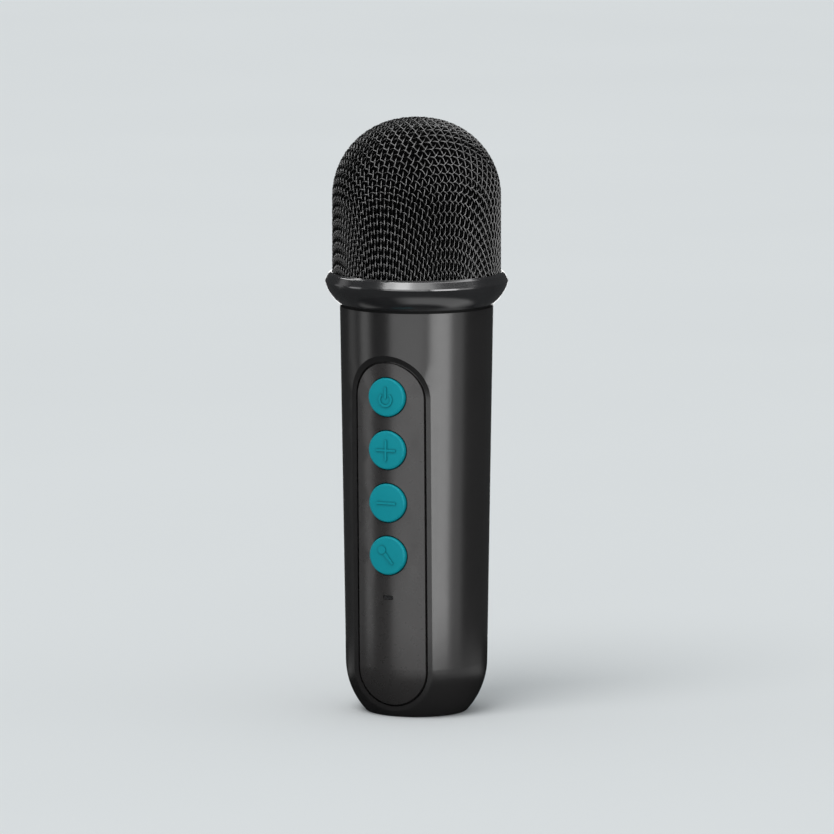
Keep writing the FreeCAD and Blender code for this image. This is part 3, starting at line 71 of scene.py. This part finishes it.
def make_camera():
    data = bpy.data.cameras.new("camera")
    data.lens = CAMERA_LENS
    data.sensor_width = SENSOR_WIDTH
    data.clip_start = NEAR_LIMIT
    data.clip_end = FAR_LIMIT
    camera = bpy.data.objects.new("camera", data)
    bpy.context.scene.collection.objects.link(camera)
    right = heading(CAMERA_AZIMUTH + math.pi / 2)
    target = Vector((0, 0, LOOK_HEIGHT)) + right * LOOK_ASIDE
    back = towards(CAMERA_AZIMUTH, CAMERA_ELEVATION)
    camera.location = target + back * CAMERA_DISTANCE
    camera.rotation_euler = (-back).to_track_quat("-Z", "Y").to_euler()
    bpy.context.scene.camera = camera


# ---- node materials ----

class Paint:
    """A material with one Principled shader and the texture nodes that feed it."""

    def __init__(self, name):
        self.material = bpy.data.materials.new(name)
        self.material.use_nodes = True
        self.tree = self.material.node_tree
        self.shader = self.tree.nodes["Principled BSDF"]
        self.place = self.add("ShaderNodeTexCoord").outputs["Object"]
        self.height = None

    def add(self, kind, **settings):
        node = self.tree.nodes.new(kind)
        for name, value in settings.items():
            setattr(node, name, value)
        return node

    def link(self, output, socket):
        self.tree.links.new(output, socket)

    def stretched(self, x, y, z):
        """The object's own coordinates, scaled by a factor along each axis."""
        node = self.add("ShaderNodeMapping")
        node.inputs["Scale"].default_value = (x, y, z)
        self.link(self.place, node.inputs["Vector"])
        return node.outputs["Vector"]

    def noise(self, size, detail=3.0, rough=0.55, place=None):
        """Cloudy pattern whose features are about size metres across."""
        node = self.add("ShaderNodeTexNoise")
        node.inputs["Scale"].default_value = 1 / size
        node.inputs["Detail"].default_value = detail
        node.inputs["Roughness"].default_value = rough
        self.link(place or self.place, node.inputs["Vector"])
        return node.outputs["Fac"]

    def cells(self, size, feature="F1"):
        """Distances within cells that are about size metres across."""
        node = self.add("ShaderNodeTexVoronoi", feature=feature)
        node.inputs["Scale"].default_value = 1 / size
        self.link(self.place, node.inputs["Vector"])
        return node.outputs["Distance"]

    def rings(self, size, axis, bend):
        """Waves round an axis, bent a little out of true."""
        node = self.add("ShaderNodeTexWave", wave_profile="SIN", wave_type="RINGS")
        node.rings_direction = axis
        node.inputs["Scale"].default_value = 1 / size
        node.inputs["Distortion"].default_value = bend
        self.link(self.place, node.inputs["Vector"])
        return node.outputs["Fac"]

    def spread(self, value, low, high, start=0.0, end=1.0):
        """A value's range from start to end moved to low to high."""
        node = self.add("ShaderNodeMapRange")
        for name, number in (("From Min", start), ("From Max", end),
                             ("To Min", low), ("To Max", high)):
            node.inputs[name].default_value = number
        self.link(value, node.inputs["Value"])
        return node.outputs["Result"]

    def ramp(self, value, *stops):
        """Colours at places from 0 to 1 along a value."""
        node = self.add("ShaderNodeValToRGB")
        band = node.color_ramp.elements
        while len(band) < len(stops):
            band.new(0.5)
        for element, (place, colour) in zip(band, stops):
            element.position = place
            element.color = (*colour, 1)
        self.link(value, node.inputs["Fac"])
        return node.outputs["Color"]

    def multiplied(self, first, second):
        """Two colours multiplied. The mix node's colour sockets have the numbers 6, 7 and 2."""
        node = self.add("ShaderNodeMix", data_type="RGBA", blend_type="MULTIPLY")
        node.inputs[0].default_value = 1
        self.link(first, node.inputs[6])
        self.link(second, node.inputs[7])
        return node.outputs[2]

    def colour(self, value, *stops):
        self.link(self.ramp(value, *stops), self.shader.inputs["Base Color"])

    def roughness(self, value, low, high):
        self.link(self.spread(value, low, high), self.shader.inputs["Roughness"])

    def bump(self, value, depth):
        """Raise the surface by up to depth metres where the value is 1. Calls add up."""
        node = self.add("ShaderNodeBump")
        node.inputs["Strength"].default_value = 1
        node.inputs["Distance"].default_value = depth
        self.link(value, node.inputs["Height"])
        if self.height is not None:
            self.link(self.height, node.inputs["Normal"])
        self.height = node.outputs["Normal"]
        self.link(self.height, self.shader.inputs["Normal"])

    def fixed(self, **values):
        """Numbers that are the same all over the surface, such as metallic or coat_weight."""
        for name, value in values.items():
            socket = name.replace("_", " ").title().replace("Ior", "IOR")
            self.shader.inputs[socket].default_value = value
        return self


BLACK = (0, 0, 0)
WHITE = (1, 1, 1)
TEAL = (0.0012, 0.140, 0.168)
MOTTLE = 0.10
METAL_MARK = 0.0004
METAL_DEPTH = 0.000003


def grey(tone):
    return (tone, tone, tone)


def shaded(colour, factor):
    return tuple(part * factor for part in colour)


def moulded(name, colour, rough, grain=0.00018, depth=0.000004):
    """Moulded plastic: fine spark-eroded grain, faint flow marks and uneven gloss."""
    paint = Paint(name)
    cloud = paint.noise(0.011, 4)
    paint.colour(cloud, (0.25, shaded(colour, 1 - MOTTLE)), (0.75, shaded(colour, 1 + MOTTLE)))
    paint.roughness(paint.noise(0.0021, 4), rough - 0.035, rough + 0.035)
    paint.bump(paint.noise(grain, 2, 0.5), depth)
    paint.bump(paint.noise(0.006, 1), depth * 3)
    return paint


def polished(name, colour, rough):
    """Gloss lacquer: almost flat, with a trace of orange peel. The caller adds any clear coat."""
    paint = Paint(name)
    paint.colour(paint.noise(0.009), (0.3, shaded(colour, 0.8)), (0.7, shaded(colour, 1.25)))
    paint.roughness(paint.noise(0.0016, 5), rough - 0.03, rough + 0.05)
    paint.bump(paint.noise(0.0012, 1), 0.0000012)
    return paint


def metal(name, colour, rough, stretch=(1, 1, 1)):
    """Bare or plated metal with fine marks drawn out along one direction."""
    paint = Paint(name)
    marks = paint.noise(METAL_MARK, 4, 0.6, paint.stretched(*stretch))
    paint.colour(marks, (0.3, shaded(colour, 0.82)), (0.7, colour))
    paint.roughness(marks, rough - 0.06, rough + 0.10)
    paint.bump(marks, METAL_DEPTH)
    return paint.fixed(metallic=1.0)


def rubbery(name, colour, rough=0.62, sheen=0.15):
    paint = Paint(name)
    paint.colour(paint.noise(0.003, 4), (0.3, shaded(colour, 0.8)), (0.7, shaded(colour, 1.2)))
    paint.roughness(paint.noise(0.0009, 4), rough - 0.05, rough + 0.07)
    paint.bump(paint.noise(0.00015, 3), 0.00001)
    return paint.fixed(sheen_weight=sheen)


def shell_finish():
    return moulded("satin_shell", (0.0098, 0.0094, 0.0094), 0.25)


def panel_finish():
    return moulded("satin_panel", (0.0160, 0.0150, 0.0148), 0.28, grain=0.00030, depth=0.0000005)


def button_finish():
    """Satin plastic, with painted shade darkening the corners beside the sign and around the cap."""
    paint = moulded("teal_button", TEAL, 0.42)
    cloud = paint.noise(0.011, 4)
    tone = paint.ramp(cloud, (0.25, shaded(TEAL, 0.95)), (0.75, shaded(TEAL, 1.05)))
    # Painted shade: an ambient occlusion node darkens the colour in the corners beside the sign and
    # round the cap.
    corners = paint.add("ShaderNodeAmbientOcclusion", samples=8)
    corners.inputs["Distance"].default_value = 0.0007
    shade = paint.ramp(corners.outputs["AO"], (0.35, grey(0.35)), (0.95, WHITE))
    paint.link(paint.multiplied(tone, shade), paint.shader.inputs["Base Color"])
    return paint.fixed(specular_ior_level=0.10)


def collar_finish():
    paint = polished("black_collar", (0.010, 0.010, 0.0105), 0.17)
    return paint.fixed(specular_ior_level=0.9, coat_weight=0.6, coat_roughness=0.12)


def seal_finish():
    return rubbery("black_seal", (0.003, 0.003, 0.003), 0.7, sheen=0.0).fixed(specular_ior_level=0.1)


def wire_finish():
    """Black enamel on drawn wire, its grey varying at random over the surface."""
    paint = Paint("enamelled_wire")
    cloud = paint.noise(0.0013, 4, 0.6)
    paint.colour(cloud, (0.3, grey(0.060)), (0.7, grey(0.106)))
    paint.roughness(paint.noise(0.0005, 4), 0.12, 0.18)
    paint.bump(paint.noise(0.00012, 2), 0.000003)
    return paint.fixed(metallic=1.0)


def band_finish():
    return metal("enamelled_band", (0.06, 0.06, 0.062), 0.35, (1, 1, 6))


def foam_finish():
    """Open-cell foam: pores painted darker towards their sunken centres as painted shade, with thin
    lighter struts between them.
    """
    paint = Paint("open_cell_foam")
    pores = paint.cells(0.00075, "DISTANCE_TO_EDGE")
    # Painted shade: the colour darkens from the struts into the sunken pore centres.
    paint.colour(pores, (0.0, (0.0030, 0.0030, 0.0032)), (0.25, (0.0005, 0.0005, 0.0005)))
    paint.roughness(paint.noise(0.002), 0.9, 1.0)
    paint.bump(paint.spread(pores, 1.0, 0.0, 0.0, 0.35), 0.00035)
    paint.bump(paint.noise(0.0003, 3), 0.0001)
    return paint.fixed(specular_ior_level=0.02)


def can_finish():
    """Turned aluminium: rings round the axis."""
    paint = Paint("capsule_can")
    rings = paint.rings(0.0009, "Z", 0.6)
    paint.colour(rings, (0.0, (0.52, 0.53, 0.54)), (1.0, (0.68, 0.69, 0.70)))
    paint.roughness(paint.noise(0.0008, 4), 0.24, 0.36)
    paint.bump(rings, 0.000004)
    return paint.fixed(metallic=1.0)


def felt_finish():
    """Pressed fibres, tangled at two scales."""
    paint = Paint("felt")
    fibres = paint.noise(0.00025, 6, 0.75)
    paint.colour(fibres, (0.3, (0.010, 0.010, 0.011)), (0.7, (0.035, 0.035, 0.037)))
    paint.roughness(fibres, 0.9, 1.0)
    paint.bump(fibres, 0.00012)
    return paint.fixed(sheen_weight=0.5)


def boot_finish():
    return rubbery("black_boot", (0.009, 0.009, 0.009), 0.6)


def inner_finish():
    return moulded("inner_abs", (0.022, 0.022, 0.024), 0.48, grain=0.0003, depth=0.00001)


def board_finish():
    """Solder mask over copper: tracks show as a lighter, slightly raised maze."""
    paint = Paint("green_board")
    lanes = paint.add("ShaderNodeTexBrick", offset=0.5, squash=1.0)
    lanes.inputs["Scale"].default_value = 1
    lanes.inputs["Brick Width"].default_value = 0.0034
    lanes.inputs["Row Height"].default_value = 0.0013
    lanes.inputs["Mortar Size"].default_value = 0.00012
    turned = paint.add("ShaderNodeMapping")
    turned.inputs["Rotation"].default_value = (math.pi / 2, 0, 0)
    paint.link(paint.place, turned.inputs["Vector"])
    paint.link(turned.outputs["Vector"], lanes.inputs["Vector"])
    tracks = lanes.outputs["Fac"]
    paint.colour(tracks, (0.0, (0.006, 0.052, 0.022)), (1.0, (0.018, 0.115, 0.045)))
    paint.roughness(paint.noise(0.0011, 3), 0.26, 0.38)
    paint.bump(tracks, 0.00002)
    return paint.fixed(coat_weight=0.4, coat_roughness=0.2)


def shield_finish():
    return metal("module_shield", (0.62, 0.62, 0.60), 0.32, (1, 1, 8))


def chip_finish():
    return moulded("chip_epoxy", (0.012, 0.012, 0.013), 0.55, grain=0.00012, depth=0.00001)


def case_finish():
    return metal("switch_case", (0.55, 0.56, 0.57), 0.30, (6, 1, 1))


def plunger_finish():
    return moulded("ivory_plunger", (0.52, 0.47, 0.36), 0.42)


def contact_finish():
    return metal("tinned_contact", (0.70, 0.69, 0.66), 0.28)


def led_finish():
    """Clear epoxy over a phosphor that clouds it."""
    paint = moulded("led_lens", (0.75, 0.72, 0.50), 0.22)
    return paint.fixed(transmission_weight=0.35, ior=1.5)


def pipe_finish():
    """Smoked clear plastic, hazy inside."""
    paint = moulded("smoked_pipe", (0.012, 0.012, 0.013), 0.25)
    return paint.fixed(transmission_weight=0.3, ior=1.49)


def port_finish():
    return metal("port_nickel", (0.66, 0.66, 0.64), 0.25, (1, 1, 0.2))


def port_plastic_finish():
    return moulded("port_insert", (0.010, 0.010, 0.011), 0.4)


def cell_finish():
    """Shrink sleeve: glossy film with faint draw lines along the cell."""
    paint = Paint("cell_sleeve")
    lines = paint.noise(0.0012, 5, 0.6, paint.stretched(1, 1, 0.05))
    paint.colour(lines, (0.3, (0.010, 0.060, 0.230)), (0.7, (0.016, 0.085, 0.300)))
    paint.roughness(lines, 0.16, 0.30)
    paint.bump(lines, 0.00001)
    return paint.fixed(coat_weight=0.5, coat_roughness=0.08)


def wire_skin(name, colour):
    """Drawn insulation with soft streaks along it."""
    paint = Paint(name)
    streaks = paint.noise(0.0007, 4, 0.6, paint.stretched(1, 1, 0.1))
    paint.colour(streaks, (0.3, shaded(colour, 0.8)), (0.7, colour))
    paint.roughness(streaks, 0.34, 0.48)
    paint.bump(paint.noise(0.0004, 2), 0.000006)
    return paint


def red_finish():
    return wire_skin("red_insulation", (0.45, 0.020, 0.015))


def black_finish():
    return wire_skin("black_insulation", (0.014, 0.014, 0.014))


def white_finish():
    return wire_skin("white_insulation", (0.62, 0.61, 0.58))


def plug_finish():
    return moulded("nylon_plug", (0.66, 0.63, 0.54), 0.45)


def pad_finish():
    """Closed-cell foam: small even bubbles, painted darker at their sunken centres as painted shade.
    """
    paint = Paint("grey_pad")
    bubbles = paint.cells(0.00035)
    # Painted shade: each bubble's colour darkens towards its sunken centre.
    paint.colour(bubbles, (0.0, (0.030, 0.030, 0.031)), (0.8, (0.075, 0.075, 0.078)))
    paint.roughness(bubbles, 0.85, 0.97)
    paint.bump(bubbles, 0.00006)
    return paint


def screw_finish():
    return metal("zinc_screw", (0.60, 0.60, 0.58), 0.26, (1, 1, 3))


CONTROLS = ("power", "volume_up", "volume_down", "effect")

FINISHES = {
    shell_finish: ["body_shell"],
    panel_finish: ["front_panel"],
    button_finish: [name + "_button" for name in CONTROLS],
    collar_finish: ["collar_ring"],
    seal_finish: ["neck_seal"],
    band_finish: ["grille_mesh", "grille_rim"],
    foam_finish: ["foam_liner"],
    can_finish: ["capsule"],
    felt_finish: ["capsule_felt"],
    boot_finish: ["capsule_boot"],
    inner_finish: ["chassis", "neck_ring", "capsule_holder"],
    board_finish: ["main_board"],
    shield_finish: ["wireless_module"],
    chip_finish: ["board_chips"],
    case_finish: [name + "_switch" for name in CONTROLS],
    plunger_finish: [name + "_switch_plunger" for name in CONTROLS],
    contact_finish: ["switch_terminals"],
    led_finish: ["status_led"],
    pipe_finish: ["led_light_pipe"],
    port_finish: ["usb_port_shell"],
    port_plastic_finish: ["usb_port_tongue"],
    cell_finish: ["battery_cell"],
    red_finish: ["battery_lead_positive"],
    black_finish: ["battery_lead_negative", "capsule_lead_ground"],
    white_finish: ["capsule_lead_signal"],
    plug_finish: ["battery_socket", "battery_plug"],
    pad_finish: ["battery_pad"],
    screw_finish: ["board_screws", "neck_screws", "holder_screws"],
}


def dress(piece, paint):
    piece.data.materials.clear()
    piece.data.materials.append(paint.material)


def dress_cad_nodes():
    for finish, nodes in FINISHES.items():
        paint = finish()
        for node in nodes:
            dress(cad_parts[node], paint)


# ---- the dome's outline, which the grille and the foam share ----

GRILLE_SKIN = 0.0009
DOME_HEIGHT = 0.01925
CROWN_EXTRA = 0.0045


class Dome:
    """Outline of the grille, moved inwards, as a path from its apex down to its lower edge."""

    def __init__(self, inset):
        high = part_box("grille_mesh")[1]
        outside = high.x
        self.waist = high.z - DOME_HEIGHT
        crown = outside + CROWN_EXTRA
        self.crown_centre = high.z - crown
        rise = self.waist - self.crown_centre
        self.shoulder_centre = (rise ** 2 - CROWN_EXTRA ** 2) / (2 * CROWN_EXTRA)
        self.crown = crown - inset
        self.shoulder = outside - self.shoulder_centre - inset
        self.side = outside - inset
        self.turn = math.atan2(self.shoulder_centre, rise)
        self.crown_length = self.crown * self.turn
        self.dome_length = self.crown_length + self.shoulder * (math.pi / 2 - self.turn)

    def at(self, along):
        """Radius, height and the outward normal's two parts at a distance from the apex."""
        along = np.asarray(along, float)
        top = along / self.crown
        bend = self.turn + (along - self.crown_length) / self.shoulder
        on_crown = along < self.crown_length
        on_side = along > self.dome_length
        angle = np.where(on_crown, top, np.minimum(bend, math.pi / 2))
        radius = np.where(on_crown, self.crown * np.sin(angle),
                          self.shoulder_centre + self.shoulder * np.sin(angle))
        height = np.where(on_crown, self.crown_centre + self.crown * np.cos(angle),
                          self.waist + self.shoulder * np.cos(angle))
        height = np.where(on_side, self.waist - (along - self.dome_length), height)
        return radius, height, np.sin(angle), np.cos(angle)

    def length_to(self, height):
        return self.dome_length + self.waist - height


def mesh_piece(name, points, faces):
    mesh = bpy.data.meshes.new(name)
    mesh.from_pydata(points, [], faces)
    mesh.validate()
    mesh.polygons.foreach_set("use_smooth", [True] * len(mesh.polygons))
    piece = bpy.data.objects.new(name, mesh)
    bpy.context.scene.collection.objects.link(piece)
    return piece


# ---- woven grille ----

WIRE_RADIUS = 0.00018
WAVE_HEIGHT = 0.00025
SIDEWAYS_WAVE = 0.00016
WEAVE_PITCH = 0.0016
STEPS_PER_PITCH = 5
WIRE_SIDES = 6
SIDE_STRETCH = 0.8
WIRE_END_LIFT = 0.0001


def pressed_weave(dome, across, along):
    """A place on the flat weave, moved to the dome: the middle surface and its normal."""
    flat = np.hypot(across, along)
    arc = np.where(flat < dome.dome_length, flat,
                   dome.dome_length + (flat - dome.dome_length) / SIDE_STRETCH)
    radius, height, level, upright = dome.at(arc)
    flat = np.maximum(flat, 1e-9)
    x, y = across / flat, along / flat
    middle = np.stack([radius * x, radius * y, height], axis=1)
    normal = np.stack([level * x, level * y, upright], axis=1)
    return middle, normal


def tube(path, normal, radius, sides, first):
    """Points and faces of a closed round tube along a path, numbered from first."""
    ahead = np.gradient(path, axis=0)
    ahead /= np.linalg.norm(ahead, axis=1, keepdims=True)
    up = normal - ahead * (normal * ahead).sum(1, keepdims=True)
    up /= np.linalg.norm(up, axis=1, keepdims=True)
    side = np.cross(ahead, up)
    turns = [2 * math.pi * k / sides for k in range(sides)]
    rings = np.stack([path + radius * (math.cos(a) * up + math.sin(a) * side) for a in turns], 1)
    count = len(path)
    corner = first + np.arange(count - 1)[:, None] * sides + np.arange(sides)[None]
    after = first + np.arange(count - 1)[:, None] * sides + (np.arange(sides)[None] + 1) % sides
    quads = np.stack([corner, after, after + sides, corner + sides], 2).reshape(-1, 4)
    last = first + (count - 1) * sides
    ends = [list(range(first + sides - 1, first - 1, -1)), list(range(last, last + sides))]
    return rings.reshape(-1, 3), quads.tolist() + ends


def woven_wires(name, across_first, lift):
    """One family of the weave's wires, over and under the other family."""
    dome = Dome(GRILLE_SKIN / 2)
    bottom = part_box("grille_mesh")[0].z + WIRE_END_LIFT
    reach = dome.dome_length + (dome.length_to(bottom) - dome.dome_length) * SIDE_STRETCH
    half = int(reach / WEAVE_PITCH)
    points, faces, total = [], [], 0
    for index in range(-half, half):
        offset = (index + 0.5) * WEAVE_PITCH
        extent = math.sqrt(reach ** 2 - offset ** 2)
        steps = max(2, round(2 * extent / WEAVE_PITCH * STEPS_PER_PITCH))
        run = np.linspace(-extent, extent, steps + 1)
        beat = (-1) ** index * np.sin(math.pi * run / WEAVE_PITCH)
        still = offset + lift * SIDEWAYS_WAVE * beat
        places = (still, run) if across_first else (run, still)
        middle, normal = pressed_weave(dome, *places)
        path = middle + normal * (lift * WAVE_HEIGHT * beat)[:, None]
        rings, quads = tube(path, normal, WIRE_RADIUS, WIRE_SIDES, total)
        points.append(rings)
        faces.extend(quads)
        total += len(rings)
    return mesh_piece(name, np.concatenate(points).tolist(), faces)


def make_grille():
    paint = wire_finish()
    families = (("grille_warp_wires", True, 1), ("grille_weft_wires", False, -1))
    for name, across_first, lift in families:
        wires = woven_wires(name, across_first, lift)
        dress(wires, paint)
        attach(wires, "head")
        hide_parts("grille_mesh")


# ---- foam and felt ----

FOAM_GAP = 0.0002
FOAM_THICKNESS = 0.003
FOAM_PORE = 0.0011
FOAM_DENT = 0.00012
FOAM_SIDES = 168
FOAM_INNER_POINTS = 26
FOAM_OUTER_POINTS = 90
FELT_SIDES = 96
FELT_CHAMFER = 0.3
ON_AXIS = 1e-7
FELT_FRAY = 0.00010
FELT_FIBRE = 0.0003
PAD_ROUND = 0.00022


def turned_piece(name, outline, segments, roughen=0.0, grain=0.001):
    """Turn a closed outline of (radius, height) about Z. Its first and last point may be on Z."""
    points, faces, rings = [], [], []
    for radius, height in outline:
        if radius < ON_AXIS:
            rings.append([len(points)])
            points.append((0, 0, height))
            continue
        rings.append(list(range(len(points), len(points) + segments)))
        for k in range(segments):
            angle = 2 * math.pi * k / segments
            spot = Vector((radius * math.cos(angle), radius * math.sin(angle), height))
            dent = roughen * (noise.noise(spot / grain) * 0.5 - 0.5)
            points.append(tuple(spot * (1 + dent / radius)))
    for lower, upper in zip(rings, rings[1:]):
        for k in range(segments):
            after = (k + 1) % segments
            corners = [lower[k % len(lower)], lower[after % len(lower)],
                       upper[after % len(upper)], upper[k % len(upper)]]
            faces.append(list(dict.fromkeys(corners)))
    return mesh_piece(name, points, faces)


def make_foam():
    """The windscreen: a cap of open-cell foam that lines the grille."""
    outer = Dome(GRILLE_SKIN + FOAM_GAP)
    inner = Dome(GRILLE_SKIN + FOAM_GAP + FOAM_THICKNESS)
    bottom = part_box("foam_liner")[0].z
    outline = []
    for dome, count in ((inner, FOAM_INNER_POINTS), (outer, FOAM_OUTER_POINTS)):
        path = np.linspace(0, dome.length_to(bottom), count)
        radius, height = dome.at(path)[:2]
        corners = list(zip(radius.tolist(), height.tolist()))
        outline += corners if dome is inner else corners[::-1]
    foam = turned_piece("foam_windscreen", outline, FOAM_SIDES, FOAM_DENT, FOAM_PORE)
    dress(foam, foam_finish())
    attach(foam, "windscreen")
    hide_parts("foam_liner")


def make_felt():
    """A felt disc on the capsule, its cut edge a little ragged."""
    low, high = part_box("capsule_felt")
    radius = high.x
    cut = (high.z - low.z) * FELT_CHAMFER
    outline = [(0, low.z), (radius * 0.5, low.z), (radius, low.z),
               (radius, high.z - cut), (radius - cut, high.z)]
    outline += [(radius * share, high.z) for share in (0.8, 0.6, 0.4, 0.2, 0)]
    felt = turned_piece("felt_disc", outline, FELT_SIDES, FELT_FRAY, FELT_FIBRE)
    dress(felt, felt_finish())
    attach(felt, "handle")
    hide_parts("capsule_felt")


def make_pad():
    """A strip of foam behind the cell, its cut edges pressed round."""
    low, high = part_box("battery_pad")
    shape = bmesh.new()
    bmesh.ops.create_cube(shape, size=1)
    bmesh.ops.scale(shape, vec=high - low, verts=shape.verts)
    bmesh.ops.translate(shape, vec=(low + high) / 2, verts=shape.verts)
    bmesh.ops.bevel(shape, geom=shape.edges[:], offset=PAD_ROUND, segments=4, affect="EDGES",
                    profile=0.5)
    mesh = bpy.data.meshes.new("foam_strip")
    shape.to_mesh(mesh)
    shape.free()
    pad = bpy.data.objects.new("foam_strip", mesh)
    bpy.context.scene.collection.objects.link(pad)
    dress(pad, pad_finish())
    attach(pad, "handle")
    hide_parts("battery_pad")


# ---- stage and light ----

CARD_RADIUS = 0.105
CARD_SIDES = 48
CARD_DEPTH = 0.0005
CARD_HOLE = 0.03
FLOOR_HALF = 8
SOFTBOX_HEIGHT = 0.85
HEAD_HEIGHT = 0.105
MIDDLE_HEIGHT = 0.075


def reflector_glow():
    """A dark card with a faint ring sector that the collar's underside mirrors."""
    paint = Paint("reflector_card")
    away = paint.add("ShaderNodeVectorMath", operation="LENGTH")
    paint.link(paint.place, away.inputs[0])
    ring = paint.ramp(paint.spread(away.outputs["Value"], 0, 1, CARD_HOLE, CARD_RADIUS),
                      (0.09, BLACK), (0.26, WHITE), (0.80, WHITE), (0.97, BLACK))
    angle = paint.add("ShaderNodeTexGradient", gradient_type="RADIAL")
    paint.link(paint.place, angle.inputs["Vector"])
    sector = paint.ramp(angle.outputs["Fac"], (0.10, BLACK), (0.16, grey(0.45)), (0.22, BLACK),
                        (0.39, BLACK), (0.47, WHITE), (0.76, WHITE), (0.86, BLACK))
    paint.link(paint.multiplied(ring, sector), paint.shader.inputs["Emission Color"])
    paint.shader.inputs["Base Color"].default_value = (0.02, 0.02, 0.02, 1)
    return paint.fixed(emission_strength=0.7, specular_ior_level=0)


def make_stage():
    """A wide pale floor that reflections pass, and a card under it that only they see."""
    paint = Paint("pale_floor")
    paint.colour(paint.noise(0.35, 2), (0.3, (0.80, 0.82, 0.825)), (0.7, (0.82, 0.84, 0.845)))
    paint.roughness(paint.noise(0.1), 0.85, 0.95)
    corners = [(x * FLOOR_HALF, y * FLOOR_HALF, 0) for x, y in ((-1, -1), (1, -1), (1, 1), (-1, 1))]
    floor = mesh_piece("studio_floor", corners, [(0, 1, 2, 3)])
    dress(floor, paint)
    floor.visible_glossy = False
    turns = [2 * math.pi * k / CARD_SIDES for k in range(CARD_SIDES)]
    rim = [(CARD_RADIUS * math.cos(a), CARD_RADIUS * math.sin(a), -CARD_DEPTH) for a in turns]
    card = mesh_piece("reflector_card", rim, [list(range(CARD_SIDES))])
    card.rotation_euler = (0, 0, CAMERA_AZIMUTH - math.pi / 2)
    dress(card, reflector_glow())
    for ray in ("camera", "diffuse", "transmission", "shadow"):
        setattr(card, "visible_" + ray, False)
    return floor


def make_world():
    """Pale to the camera and to matt surfaces, and nearly dark in reflections."""
    world = bpy.data.worlds.new("studio")
    bpy.context.scene.world = world
    world.use_nodes = True
    nodes, links = world.node_tree.nodes, world.node_tree.links
    back = nodes["Background"]
    back.inputs["Color"].default_value = (0.94, 0.98, 1.0, 1)
    ray = nodes.new("ShaderNodeLightPath")
    strength = nodes.new("ShaderNodeMapRange")
    strength.inputs["To Min"].default_value = 0.62
    strength.inputs["To Max"].default_value = 0.05
    links.new(ray.outputs["Is Glossy Ray"], strength.inputs["Value"])
    links.new(strength.outputs["Result"], back.inputs["Strength"])


def softbox(name, turn, elevation, distance, width, height, radiance, spared,
            aim=MIDDLE_HEIGHT):
    """An area light turned some degrees to the camera's right, given by its radiance."""
    data = bpy.data.lights.new(name, "AREA")
    data.shape = "RECTANGLE"
    data.size = width
    data.size_y = height
    data.energy = radiance * math.pi * width * height
    lamp = bpy.data.objects.new(name, data)
    out = towards(CAMERA_AZIMUTH + math.radians(turn), math.radians(elevation))
    lamp.location = Vector((0, 0, aim)) + out * distance
    lamp.rotation_euler = (-out).to_track_quat("-Z", "Y").to_euler()
    lamp.visible_camera = False
    lamp.light_linking.receiver_collection = spared
    bpy.context.scene.collection.objects.link(lamp)


def sun(turn, elevation, strength, spread):
    data = bpy.data.lights.new("soft_sun", "SUN")
    data.energy = strength
    data.angle = math.radians(spread)
    lamp = bpy.data.objects.new("soft_sun", data)
    out = towards(CAMERA_AZIMUTH + math.radians(turn), math.radians(elevation))
    lamp.rotation_euler = (-out).to_track_quat("-Z", "Y").to_euler()
    bpy.context.scene.collection.objects.link(lamp)


def make_lights(floor):
    """Softboxes that light the microphone and not the floor, and a soft sun for both."""
    spared = bpy.data.collections.new("not_lit_by_softboxes")
    spared.objects.link(floor)
    spared.collection_objects[0].light_linking.link_state = "EXCLUDE"
    softbox("key_strip", 36, 4, 0.9, 0.53, SOFTBOX_HEIGHT, 5.5, spared)
    softbox("key_edge", 64, 4, 0.9, 0.36, SOFTBOX_HEIGHT, 1.15, spared)
    softbox("front_fill", -14, 4, 1.1, 1.15, SOFTBOX_HEIGHT, 2.1, spared)
    softbox("left_strip", -84, 4, 0.9, 0.26, SOFTBOX_HEIGHT, 1.6, spared)
    softbox("left_edge", -113, 4, 0.9, 0.28, SOFTBOX_HEIGHT, 0.45, spared)
    softbox("back_strip", 180, 4, 1.1, 0.34, SOFTBOX_HEIGHT, 2.2, spared)
    softbox("overhead", 40, 74, 0.85, 1.5, SOFTBOX_HEIGHT, 2.6, spared, aim=HEAD_HEIGHT)
    softbox("back_left", -127, 40, 1.0, 0.30, 0.35, 5.0, spared, aim=HEAD_HEIGHT)
    softbox("back_fill", 180, 58, 1.2, 0.9, 0.5, 1.2, spared)
    sun(-35, 58, 1.1, 35)


make_camera()
make_world()
make_lights(make_stage())
dress_cad_nodes()
make_foam()
make_felt()
make_pad()
make_grille()

bpy.context.scene.view_settings.view_transform = "Standard"
